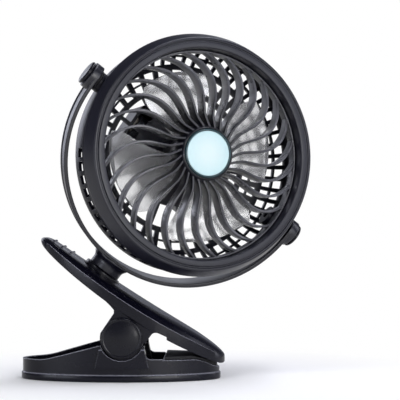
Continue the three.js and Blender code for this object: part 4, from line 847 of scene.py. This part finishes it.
def rear_cage():
    inner_barrel = [(r - BARREL_WALL, z) for r, z in CAGE_BARREL]
    profile = [
        (COLLAR_INNER, COLLAR_TOP), (COLLAR_OUTER, COLLAR_TOP), (COLLAR_OUTER, CAGE_TOP),
        (CAGE_OUTER, CAGE_TOP), (CAGE_OUTER, 8.5), (72.0, 8.5), *CAGE_BARREL, *CAGE_DISH,
        (CAGE_PLATE, CAGE_BACK), (WIRE_HOLE, CAGE_BACK), (WIRE_HOLE, CAGE_BACK + CAGE_WALL),
        (CAGE_PLATE, CAGE_BACK + CAGE_WALL), *INNER_DISH[::-1], *inner_barrel[::-1],
        (70.7, 6.1), (SHELF_INNER, 7.8), (SHELF_INNER, 8.9), (COLLAR_INNER, 8.9),
    ]
    shell = Shell()
    shell.turn(profile, steps=168)
    cup = Shell()
    cup.turn([
        (WIRE_HOLE, CUP_FOOT), (CUP_OUTER, CUP_FOOT), (CUP_OUTER, CUP_TOP), (CUP_INNER, CUP_TOP),
        (CUP_INNER, CUP_FLOOR), (WIRE_HOLE, CUP_FLOOR),
    ], steps=64)
    bosses = Shell()
    section = [
        (BOSS_BORE, BOSS_START), (BOSS_RADIUS, BOSS_START), (BOSS_RADIUS, BOSS_END), (BOSS_BORE, BOSS_END),
    ]
    for side in (-1, 1):
        bosses.turn(section, steps=40, along="x", flip=side)
    cage = combine(mesh_of(shell, HEAD), [("DIFFERENCE", mesh_of(gather(cage_windows()), HEAD))])
    whole = bmesh.new()
    whole.from_mesh(cage)
    for extra in (cup, bosses):
        whole.from_mesh(mesh_of(extra, HEAD))
    whole.to_mesh(cage)
    whole.free()
    add_piece("cage_smooth", cage, "rear_cage", smooth=30)


# Yoke, caps and neck

YOKE_INNER = 76.05
YOKE_OUTER = 78.4
YOKE_HALF = 8.45
YOKE_LIP = 0.7
YOKE_LIP_WIDTH = 1.6
YOKE_DROP = 2.4
YOKE_STEPS = 96
EYE_RADIUS = 8.35
EYE_END = 81.4
SEAT_BELOW = 91.3
RING_HEIGHT = 3.0
STUB_FOOT = RING_HEIGHT + 2 * GAP - SEAT_BELOW
STUB_RADIUS = 10.25
FLARE_RADIUS = 12.1
FLARE_LENGTH = 2.2
FLARE_SINK = 0.2
STUB_SINK = 1.2
STEM_RADIUS = 5.8
STEM_LENGTH = 3.8


def yoke():
    shell = Shell()
    floor = YOKE_OUTER - YOKE_LIP
    rise = YOKE_HALF - YOKE_LIP_WIDTH
    section = soften([
        (YOKE_INNER, -YOKE_HALF, 0.4), (YOKE_OUTER, -YOKE_HALF, 0.5), (YOKE_OUTER, -rise, 0.3),
        (floor, -rise + YOKE_LIP, 0.4), (floor, rise - YOKE_LIP, 0.4), (YOKE_OUTER, rise, 0.3),
        (YOKE_OUTER, YOKE_HALF, 0.5), (YOKE_INNER, YOKE_HALF, 0.4),
    ])

    def across(angle, height):
        return [(r * math.cos(angle), y, height - r * math.sin(angle)) for r, y in section]

    rows = [across(0, 0)]
    rows.extend(across(i / YOKE_STEPS * math.pi, -YOKE_DROP) for i in range(YOKE_STEPS + 1))
    rows.append(across(math.pi, 0))
    shell.skin(rows)
    eye = soften([
        (0, YOKE_INNER), (EYE_RADIUS, YOKE_INNER, 0.4), (EYE_RADIUS, EYE_END, 0.7), (0, EYE_END),
    ], closed=False)
    for side in (-1, 1):
        shell.turn(eye, steps=64, along="x", flip=side)
    strap = -(YOKE_OUTER + YOKE_DROP)
    stub = soften([
        (0, STUB_FOOT), (STUB_RADIUS, STUB_FOOT, 0.5), (STUB_RADIUS, strap - FLARE_LENGTH, 1.5),
        (FLARE_RADIUS, strap + FLARE_SINK, 0.3), (FLARE_RADIUS, strap + STUB_SINK, 0.2),
        (0, strap + STUB_SINK),
    ], closed=False)
    shell.turn(stub, steps=72)
    shell.turn(rod(STEM_RADIUS, -SEAT_BELOW - STEM_LENGTH, STUB_FOOT + GAP), steps=48)
    add_piece("yoke_smooth", mesh_of(shell, YOKE), "yoke")


KNOB_FOOT = 81.7
KNOB_NECK = 6.7
KNOB_RADIUS = 7.5
KNOB = soften([
    (0, KNOB_FOOT), (KNOB_NECK, KNOB_FOOT, 0.1), (KNOB_NECK, 82.2, 0.1), (KNOB_RADIUS, 82.2, 0.35),
    (KNOB_RADIUS, 83.2, 0.7), (6.5, 83.85, 0.6), (3, 84.15, 0.8), (0, 84.25),
], closed=False)


def knobs():
    for side, node in ((-1, "tilt_knob_left"), (1, "tilt_knob_right")):
        shell = Shell()
        shell.turn(KNOB, steps=64, along="x", flip=side)
        add_piece(f"{node}_round", mesh_of(shell, YOKE), node)


PIN_HOLE = 2.8
CAP_RADIUS = 12.05
CAP_FOOT = 27.3
CAP_SOCKET = 28.15
PIVOT_CAP = soften([
    (0, CAP_SOCKET), (PIN_HOLE, CAP_SOCKET, 0.1), (PIN_HOLE, CAP_FOOT, 0.1), (CAP_RADIUS, CAP_FOOT, 0.3),
    (CAP_RADIUS, 29.0, 0.6), (11.2, 29.6, 0.4), (10.4, 29.3, 0.3), (8, 29.75, 1.5), (4, 30.25, 2), (0, 30.4),
], closed=False)


def pivot_caps():
    for side, node in ((-1, "pivot_cap_near"), (1, "pivot_cap_far")):
        shell = Shell()
        shell.turn(PIVOT_CAP, steps=96, along="y", flip=side)
        add_piece(f"{node}_round", mesh_of(shell, PIVOT), node)


NECK_HOLE = 6.1
SWIVEL_RADIUS = 12.05


def swivel_ring():
    shell = Shell()
    foot = -SEAT_BELOW + GAP
    top = foot + RING_HEIGHT
    shell.turn(soften([
        (NECK_HOLE, foot, 0.2), (SWIVEL_RADIUS, foot, 0.3), (SWIVEL_RADIUS, top, 0.7), (NECK_HOLE, top, 0.3),
    ]), steps=96)
    add_piece("swivel_ring_round", mesh_of(shell, YOKE), "swivel_ring")


# Clip: two jaws and the spring, seen from the side as (x, height)

NECK_LEAN = math.radians(38)
NECK_SEAT = Vector((-14.9, 0, 62.54))
NECK = axes(NECK_SEAT, (math.cos(NECK_LEAN), 0, -math.sin(NECK_LEAN)), neck_axis)
HALF_WIDTH = 27
WALL = 2.8
FLOOR = 2.6
REACH = 30
OVERRUN = 2


def lofted(rows):
    shell = Shell()
    shell.skin(rows)
    return mesh_of(shell)


def prism(outline, low, high):
    return lofted([[(x, y, low) for x, y in outline], [(x, y, high) for x, y in outline]])


def slab(outline, low=-REACH, high=REACH):
    """Solid across the clip from an outline seen from its side."""
    return lofted([[(x, low, z) for x, z in outline], [(x, high, z) for x, z in outline]])


def slab_pair(outline, inner, outer):
    return [slab(outline, *sorted((side * inner, side * outer))) for side in (-1, 1)]


def bar(radius, along, matrix, low=-REACH, high=REACH):
    shell = Shell()
    shell.turn(rod(radius, low, high), steps=32, along=along)
    return mesh_of(shell, matrix)


def pivot_arc(radius, start, sweep, steps):
    """Points round the clip's pivot, seen from its side."""
    turns = [start + i / steps * sweep for i in range(steps + 1)]
    return [(radius * math.cos(turn), PIVOT_HEIGHT + radius * math.sin(turn)) for turn in turns]


JAW_MID_X = 5
JAW_HALF_LENGTH = 56
JAW_BACK_X = JAW_MID_X - JAW_HALF_LENGTH
JAW_FRONT_X = JAW_MID_X + JAW_HALF_LENGTH
JAW_END_HALF = 2.2
JAW_TOP = 2.6
JAW_STEPS = 64
PLAN_STEPS = 96
JAW_HEIGHT = 45.2
JAW_FALL = 35.7
JAW_SAG = 5
DROOP = 1.9
DROOP_SHARE = 0.6
END_FALL = 2.9
END_SHARE = 0.86
CROWN = 5.8
CROWN_POWER = 0.65
CROWN_SLOPE = 12
SHOULDER_SHARES = (0.35, 0.66)
SHOULDER_ROUND = 4
CROWN_ROUND = 6
JAW_DEPTH = 6.6
JAW_DEEPENING = 1.8
UNDER_POWERS = (0.3, 0.5)
UNDER_ROUND = 0.5
INNER_ROUND = 0.3


def jaw_along(x):
    return (x - JAW_MID_X) / JAW_HALF_LENGTH


def side_line(x):
    """Height of the upper jaw's long side line, which sags a little and droops at the mouth."""
    along = jaw_along(x)
    past = max(0, along - DROOP_SHARE) / (1 - DROOP_SHARE)
    return JAW_HEIGHT - JAW_FALL * along + JAW_SAG * along ** 2 - DROOP * past ** 2


def edge_height(x):
    """Height of the side edge: the side line, turned down round the handle's blunt end."""
    past = max(0, -jaw_along(x) - END_SHARE) / (1 - END_SHARE)
    return side_line(x) - END_FALL * past ** 2


def jaw_swell(x):
    return math.sqrt(max(0, 1 - jaw_along(x) ** 2))


def crown_height(x):
    return CROWN * jaw_swell(x) ** CROWN_POWER


def jaw_underside(x):
    depth = JAW_DEPTH + JAW_DEEPENING * (x - JAW_BACK_X) / (2 * JAW_HALF_LENGTH)
    power = UNDER_POWERS[0] if x < JAW_MID_X else UNDER_POWERS[1]
    return side_line(x) - depth * jaw_swell(x) ** power


def jaw_rows(inset=0.0, drop=0.0, deeper=0.0, to_x=JAW_FRONT_X, rounding=0.0):
    """Sections across the upper jaw from its blunt end forwards, or across a space inside it."""
    rows = []
    start = math.asin(JAW_END_HALF / HALF_WIDTH)
    for i in range(JAW_STEPS + 1):
        angle = start + i / JAW_STEPS * (math.pi - 2 * start)
        x = min(to_x, JAW_MID_X - (JAW_HALF_LENGTH - inset) * math.cos(angle))
        width = HALF_WIDTH * jaw_swell(x) - inset
        if width < JAW_END_HALF / 2 or (rows and x <= rows[-1][0][0]):
            continue
        slope = min(CROWN_SLOPE * jaw_swell(x), width / 2)
        edge = edge_height(x) - drop
        crown = crown_height(x)
        inwards, upwards = SHOULDER_SHARES
        right = [
            (width, jaw_underside(x) - deeper, UNDER_ROUND),
            (width, edge, rounding),
            (width - slope * inwards, edge + crown * upwards, SHOULDER_ROUND),
            (width - slope, edge + crown, CROWN_ROUND),
        ]
        outline = right + [(-y, z, r) for y, z, r in right[::-1]]
        rows.append([(x, y, z) for y, z in soften(outline, steps=5)])
    return rows


def jaw_plan(inset):
    return [
        (JAW_MID_X + (JAW_HALF_LENGTH - inset) * math.cos(a), (HALF_WIDTH - inset) * math.sin(a))
        for a in (i / PLAN_STEPS * math.tau for i in range(PLAN_STEPS))
    ]


ARCH_START_X = 14.1
ARCH_END_X = 26.4
ARCH_FOOT = 21
CHEEK_FOOT = 23
CHEEK_RADIUS = 13
CHEEK_INSET = 0.35
CHEEK_WALL = 2.6
CHEEK_START = math.radians(167)
HANDLE_SHARE = 0.95
NOTCH_SHARE = 0.36
NOTCH_HEIGHT_SHARES = (1.3, 1.13)
ARCH = soften([
    (ARCH_START_X, ARCH_FOOT, 0.1), (ARCH_START_X, CHEEK_FOOT, 1), (15.9, 25.9, 2), (18.3, 28.9, 2),
    (20.6, 29.2, 1.6), (ARCH_END_X, 26.5, 0.4), (ARCH_END_X, ARCH_FOOT, 0.1),
])


def cheek_outline():
    """Side outline of the cheeks, which hang from the handle round the pivot."""
    front_x = ARCH_END_X - GAP
    handle_x = -CHEEK_RADIUS * HANDLE_SHARE
    notch_x = -CHEEK_RADIUS * NOTCH_SHARE
    return [
        *pivot_arc(CHEEK_RADIUS, CHEEK_START, math.pi, 40),
        (ARCH_START_X, CHEEK_FOOT),
        (front_x, CHEEK_FOOT),
        (front_x, edge_height(ARCH_END_X) - JAW_TOP / 2),
        (handle_x, edge_height(handle_x) - JAW_TOP / 2),
        (handle_x, jaw_underside(handle_x) + 2 * CHEEK_INSET),
        *[(notch_x, PIVOT_HEIGHT + CHEEK_RADIUS * share) for share in NOTCH_HEIGHT_SHARES],
    ]


PAD_RECESS = 1.9
PAD_START_X = 26.7
PAD_END_X = 57
PAD_STEPS = 24


def pad_roof(rise):
    """Side outline of the space above the upper pad."""
    xs = [PAD_START_X + i / PAD_STEPS * (PAD_END_X - PAD_START_X) for i in range(PAD_STEPS + 1)]
    roof = [(x, jaw_underside(x) + rise) for x in xs]
    return roof + [(x, jaw_underside(x) - OVERRUN) for x in xs[::-1]]


WIRE_RADIUS = 0.7
WIRE_SIDES = 12
COIL_RADIUS = 4.4
COIL_TURNS = 6
COIL_PITCH = 1.95
COIL_STEPS = 32
LEG_LOWER = math.radians(-65)
LEG_UPPER = math.radians(40)
LEG_START = 1.2
UPPER_LEG = 48
LOWER_LEG_FALL = PIVOT_HEIGHT + COIL_RADIUS * math.sin(LEG_LOWER) - FLOOR - GAP - WIRE_RADIUS
LOWER_LEG = LOWER_LEG_FALL / math.cos(LEG_LOWER)
COIL_HALF = (COIL_TURNS + (LEG_UPPER - LEG_LOWER) / math.tau) * COIL_PITCH / 2
RIB_HALF_LENGTH = 2.2
RIB_HALF_WIDTH = 2.4


def leg_point(angle, lead):
    """Point in the clip's side view, out along the leg that leaves the coil at an angle."""
    x = COIL_RADIUS * math.cos(angle) - lead * math.sin(angle)
    z = PIVOT_HEIGHT + COIL_RADIUS * math.sin(angle) + lead * math.cos(angle)
    return x, z


def spring_rib():
    """Rib under the handle, on which the spring's upper leg bears."""
    end_x, end_z = leg_point(LEG_UPPER, UPPER_LEG - RIB_HALF_LENGTH)
    lift = (WIRE_RADIUS + GAP) / math.sin(LEG_UPPER)
    slope = 1 / math.tan(LEG_UPPER)
    left, right = end_x - RIB_HALF_LENGTH, end_x + RIB_HALF_LENGTH
    outline = [
        (left, end_z + lift + slope * RIB_HALF_LENGTH), (right, end_z + lift - slope * RIB_HALF_LENGTH),
        (right, edge_height(right) + crown_height(right) - JAW_TOP / 2),
        (left, edge_height(left) + crown_height(left) - JAW_TOP / 2),
    ]
    return slab(outline, COIL_HALF - RIB_HALF_WIDTH, COIL_HALF + RIB_HALF_WIDTH)


GRIP_PLACES = (-42.6, -37.4, -32.2)
GRIP_RADIUS = 0.9
GRIP_RISE = 0.7
GRIP_SHARE = 0.6


def grip_rib(x):
    """Raised rib with rounded ends across the handle's crown."""
    half = HALF_WIDTH * jaw_swell(x) * GRIP_SHARE
    height = edge_height(x) + crown_height(x) + GRIP_RISE - GRIP_RADIUS
    shell = Shell()
    cap = [(GRIP_RADIUS * s, GRIP_RADIUS * (1 - c)) for c, s in quarter(4)]
    profile = [(r, -half + z) for r, z in cap] + [(r, half - z) for r, z in cap[::-1]]
    shell.turn(profile, steps=20, along="y")
    return mesh_of(shell, Matrix.Translation((x, 0, height)))


HOLLOW_END_X = 23.0
BOSS_PROFILE = [(0, -3.8), (14.6, -3.8), (14.6, -1.5), (12.8, -1.5), (12.8, 2), (0, 2)]
SEAT_PROFILE = rod(13.1, 0, 5)
SCREW_REACH = (-6, 3.3)


def neck_turned(profile):
    shell = Shell()
    shell.turn(profile, steps=72)
    return mesh_of(shell, NECK)


def upper_jaw():
    recess = combine(lofted(jaw_rows(inset=WALL, deeper=OVERRUN, rounding=INNER_ROUND)), [
        ("INTERSECT", slab(pad_roof(PAD_RECESS))),
    ])
    cheek_top = edge_height(-CHEEK_RADIUS) + OVERRUN
    cheeks = combine(prism(jaw_plan(CHEEK_INSET), 0, cheek_top), [
        ("DIFFERENCE", prism(jaw_plan(CHEEK_INSET + CHEEK_WALL), -OVERRUN, cheek_top + OVERRUN)),
        ("INTERSECT", slab(cheek_outline())),
    ])
    hollow = jaw_rows(inset=WALL, drop=JAW_TOP, deeper=OVERRUN, to_x=HOLLOW_END_X, rounding=INNER_ROUND)
    steps = [
        ("DIFFERENCE", lofted(hollow)),
        ("DIFFERENCE", recess),
        ("UNION", cheeks),
        ("UNION", neck_turned(BOSS_PROFILE)),
        ("UNION", spring_rib()),
        *[("UNION", grip_rib(x)) for x in GRIP_PLACES],
        ("DIFFERENCE", neck_turned(SEAT_PROFILE)),
        ("DIFFERENCE", bar(NECK_HOLE, "z", NECK, *SCREW_REACH)),
        ("DIFFERENCE", bar(PIN_HOLE, "y", PIVOT)),
        ("DIFFERENCE", slab(ARCH)),
    ]
    add_piece("upper_jaw_smooth", combine(lofted(jaw_rows()), steps), "upper_jaw", smooth=28)


NOSE_X = 62.7
NOSE_SIDE_X = 58
BASE_MID_X = -2.2
BASE_HALF_LENGTH = 60.5
SKIRT_HEIGHT = 4
SKIRT_STEP = 0.7
SKIRT_LEVELS = (
    (0.35, 0), (0.1, 0.25), (0, 0.6), (0, SKIRT_HEIGHT - 0.4), (0.12, SKIRT_HEIGHT - 0.12),
    (0.4, SKIRT_HEIGHT), (0.9, SKIRT_HEIGHT),
)
SIDE_STEPS = 112
NOSE_STEPS = 20


def base_plan(inset):
    """Plan outline of the base: long elliptic sides and a flatter, creased nose."""
    half, length = HALF_WIDTH - inset, BASE_HALF_LENGTH - inset
    nose, side = NOSE_X - inset, NOSE_SIDE_X - inset
    start = math.acos(-(side + BASE_MID_X) / length)
    points = [
        (BASE_MID_X + length * math.cos(a), half * math.sin(a))
        for a in (start - i / SIDE_STEPS * 2 * start for i in range(SIDE_STEPS + 1))
    ]
    crease = Vector(points[-1])
    pull = Vector((-2 * nose - crease.x, 0))
    mirrored = Vector((crease.x, -crease.y))
    points.extend(tuple(curve(crease, pull, mirrored, i / NOSE_STEPS)) for i in range(1, NOSE_STEPS))
    return points


BACK_X = 65
BACK_HEIGHT = 12.2
BACK_BEND_X = 47.7
HULL_TOP = 21.4
PANEL_TOP_X = 13.4
NOTCH_RADIUS = 4
DECK_X = 24
DECK_HEIGHT = 13.2
TRAY_X = 45
TRAY_HEIGHT = 12.6
TRAY_ROOF = 10.2
ROOM_TOP = 24
MOUTH_X = 58.3
MOUTH_END_X = 61
MOUTH_HEIGHT = 6.4
EAR_RADIUS = 10.4
EAR_FOOT_X = 12.8
EAR_SPAN = (19.2, 22.2)
PANEL_OUTLINE = [(-15.8, 8), (15.8, 8), (PANEL_TOP_X, 19), (-PANEL_TOP_X, 19)]
PANEL_SPAN = (21.2, 27.8)
CAP_POCKET_RADIUS = 13.4
CAP_POCKET_SPAN = (22.2, 29)


def base_side():
    """Side outline of the base: low behind, up to the panel, round the notch and down to the mouth."""
    notch = [
        (PANEL_TOP_X + NOTCH_RADIUS - NOTCH_RADIUS * c, DECK_HEIGHT + NOTCH_RADIUS * (1 - s))
        for c, s in quarter(10)
    ]
    return soften([
        (-BACK_X, 0), (-BACK_X, BACK_HEIGHT), (-BACK_BEND_X, BACK_HEIGHT, 5), (-PANEL_TOP_X, HULL_TOP, 2),
        (PANEL_TOP_X, HULL_TOP, 0.5), *notch, (DECK_X, DECK_HEIGHT), (DECK_X, TRAY_HEIGHT),
        (TRAY_X, TRAY_HEIGHT, 3), (MOUTH_X, MOUTH_HEIGHT, 0.5), (MOUTH_END_X, MOUTH_HEIGHT),
        (MOUTH_END_X, 0),
    ])


def lower_jaw():
    skirt = lofted([[(x, y, z) for x, y in base_plan(inset)] for inset, z in SKIRT_LEVELS])
    hull = combine(prism(base_plan(SKIRT_STEP), 0.1, HULL_TOP), [("INTERSECT", slab(base_side()))])
    room = [
        (-NOSE_X, FLOOR), (TRAY_X, FLOOR), (TRAY_X, TRAY_ROOF), (ARCH_END_X, TRAY_ROOF),
        (DECK_X, TRAY_ROOF), (DECK_X, ROOM_TOP), (-NOSE_X, ROOM_TOP),
    ]
    hollow = combine(prism(base_plan(WALL), FLOOR, HULL_TOP + OVERRUN), [("INTERSECT", slab(room))])
    ear = [*pivot_arc(EAR_RADIUS, 0, math.pi, 32), (-EAR_FOOT_X, FLOOR / 2), (EAR_FOOT_X, FLOOR / 2)]
    pocket = pivot_arc(CAP_POCKET_RADIUS, 0, math.tau, 72)[:-1]
    steps = [
        ("UNION", hull),
        ("DIFFERENCE", hollow),
        *[("UNION", mesh) for mesh in slab_pair(ear, *EAR_SPAN)],
        *[("UNION", mesh) for mesh in slab_pair(PANEL_OUTLINE, *PANEL_SPAN)],
        *[("DIFFERENCE", mesh) for mesh in slab_pair(pocket, *CAP_POCKET_SPAN)],
        ("DIFFERENCE", bar(PIN_HOLE, "y", PIVOT)),
    ]
    add_piece("lower_jaw_smooth", combine(skirt, steps), "lower_jaw", smooth=28)


def clip_spring():
    """One unbroken wire: the lower leg, the coil round the pivot and the upper leg."""
    sweep = LEG_UPPER - LEG_LOWER + COIL_TURNS * math.tau
    steps = round(sweep / math.tau * COIL_STEPS)
    line = []
    for lead in (-LOWER_LEG, -LOWER_LEG * 0.5, -LEG_START):
        x, z = leg_point(LEG_LOWER, lead)
        line.append(Vector((x, -COIL_HALF, z)))
    for i in range(steps + 1):
        share = i / steps
        x, z = leg_point(LEG_LOWER + share * sweep, 0)
        line.append(Vector((x, COIL_HALF * (2 * share - 1), z)))
    for lead in (LEG_START, UPPER_LEG * 0.5, UPPER_LEG):
        x, z = leg_point(LEG_UPPER, lead)
        line.append(Vector((x, COIL_HALF, z)))
    turns = [k / WIRE_SIDES * math.tau for k in range(WIRE_SIDES)]
    rows = []
    for i, point in enumerate(line):
        forward = (line[min(i + 1, len(line) - 1)] - line[max(i - 1, 0)]).normalized()
        across = (Vector((0, 1, 0)) - forward * forward.y).normalized()
        up = forward.cross(across)
        rows.append([point + (across * math.cos(a) + up * math.sin(a)) * WIRE_RADIUS for a in turns])
    shell = Shell()
    shell.skin(rows)
    low, high = ((0, side * COIL_HALF * MM, PIVOT_HEIGHT * MM) for side in (-1, 1))
    twist = (bodies["lower_jaw"], bodies["upper_jaw"], low, high)
    add_piece("spring_wire", mesh_of(shell), "clip_spring", twist=twist)


# Floor, light and background, in metres

FLOOR_COLOUR = (0.95, 0.94, 0.92)
FLOOR_HALF = 6.0
FLOOR_DROP = 0.0002
SHADOW_CENTRE = (0.02, 0.0, 0.0)
SHADOW_FADE = (0.085, 0.2)


def add_floor():
    """Pale floor that keeps the shadow near the clip and fades to plain white away from it."""
    g = Graph("floor")
    g.shade({"Base Color": FLOOR_COLOUR, "Roughness": 0.6, "Specular IOR Level": 0.2})
    glow = g.add("ShaderNodeEmission", {"Color": (1, 1, 1), "Strength": 1.0}).outputs[0]
    ray = g.add("ShaderNodeLightPath").outputs
    seen = g.math("MAXIMUM", ray["Is Camera Ray"], ray["Is Glossy Ray"])
    seen = g.math("MAXIMUM", seen, ray["Is Transmission Ray"])
    fade = g.remap(g.distance(SHADOW_CENTRE), *SHADOW_FADE, 0, 1)
    g.put(g.output.inputs["Surface"], g.blend(g.times(fade, seen), g.shader.outputs[0], glow))
    mesh = bpy.data.meshes.new("floor")
    corners = [(x * FLOOR_HALF, y * FLOOR_HALF, 0) for x, y in ((-1, -1), (1, -1), (1, 1), (-1, 1))]
    mesh.from_pydata(corners, [], [(0, 1, 2, 3)])
    mesh.materials.append(g.material)
    floor = bpy.data.objects.new("floor", mesh)
    floor.location.z = -FLOOR_DROP
    bpy.context.scene.collection.objects.link(floor)


AMBIENT = 0.2
AMBIENT_COLOUR = (0.94, 0.95, 1.0)
GLOSS_COLOUR = (0.8, 0.83, 1.0)
SWEEP_GLOW = 0.34
ROOM_GLOW = 0.12
SWEEP_FADE = (0.08, 0.4)


def add_world():
    """White to the camera and through clear plastic. Gloss sees a pale sweep low down, a dim room above."""
    world = bpy.data.worlds.new("studio")
    world.use_nodes = True
    g = Nodes(world.node_tree)
    direction = g.add("ShaderNodeTexCoord").outputs["Generated"]
    upwards = g.add("ShaderNodeSeparateXYZ", {0: direction}).outputs["Z"]
    sweep = g.remap(upwards, *SWEEP_FADE, SWEEP_GLOW, ROOM_GLOW)
    lit, gloss, white = (
        g.add("ShaderNodeBackground", {"Color": colour, "Strength": strength}).outputs[0]
        for colour, strength in ((AMBIENT_COLOUR, AMBIENT), (GLOSS_COLOUR, sweep), ((1, 1, 1), 1.0))
    )
    ray = g.add("ShaderNodeLightPath").outputs
    shiny = g.blend(ray["Is Glossy Ray"], lit, gloss)
    clear = g.math("MAXIMUM", ray["Is Camera Ray"], ray["Is Transmission Ray"])
    g.add("ShaderNodeOutputWorld", {"Surface": g.blend(clear, shiny, white)})
    bpy.context.scene.world = world


LIGHT_AIM = (0.04, 0, 0.1)
LIGHTS = {
    "axis_soft": ((0.55, -1.2, 0.2), (0.5, 0.5), 6.8, (1, 1, 1)),
    "key_upper_left": ((-0.62, -0.75, 1.0), (0.35, 0.35), 4, (0.95, 0.97, 1.0)),
    "side_left": ((-0.8, -0.8, 0.1), (0.6, 0.35), 3.5, (0.84, 0.88, 1.0)),
    "side_right": ((1.1, 0.15, 0.5), (0.4, 0.9), 4, (0.88, 0.9, 1.0)),
    "fill_right": ((0.95, -0.85, 0.3), (0.6, 0.8), 3.6, (0.86, 0.89, 1.0)),
    "top_strip": ((0.3, -0.02, 1.1), (1.2, 0.2), 9, (0.88, 0.9, 1.0)),
    "back": ((-0.2, 0.9, 0.5), (0.9, 0.4), 1.0, (0.86, 0.89, 1.0)),
    "back_left": ((-0.7, 0.85, 0.45), (0.3, 0.6), 1.8, (0.86, 0.88, 1.0)),
}


def add_lights():
    """Soft area lamps, each a row of place, size, power and colour."""
    for name, (place, size, power, colour) in LIGHTS.items():
        data = bpy.data.lights.new(name, "AREA")
        data.shape = "RECTANGLE"
        data.size, data.size_y = size
        data.energy = power
        data.color = colour
        light = bpy.data.objects.new(name, data)
        light.location = place
        light.rotation_mode = "QUATERNION"
        light.rotation_quaternion = (Vector(LIGHT_AIM) - Vector(place)).to_track_quat("-Z", "Y")
        bpy.context.scene.collection.objects.link(light)


add_camera()
add_world()
add_lights()
add_floor()
dress_nodes()
front_ring()
front_grille()
badge()
impeller()
rear_cage()
yoke()
knobs()
pivot_caps()
swivel_ring()
upper_jaw()
lower_jaw()
clip_spring()
bpy.context.scene.view_settings.view_transform = "Standard"
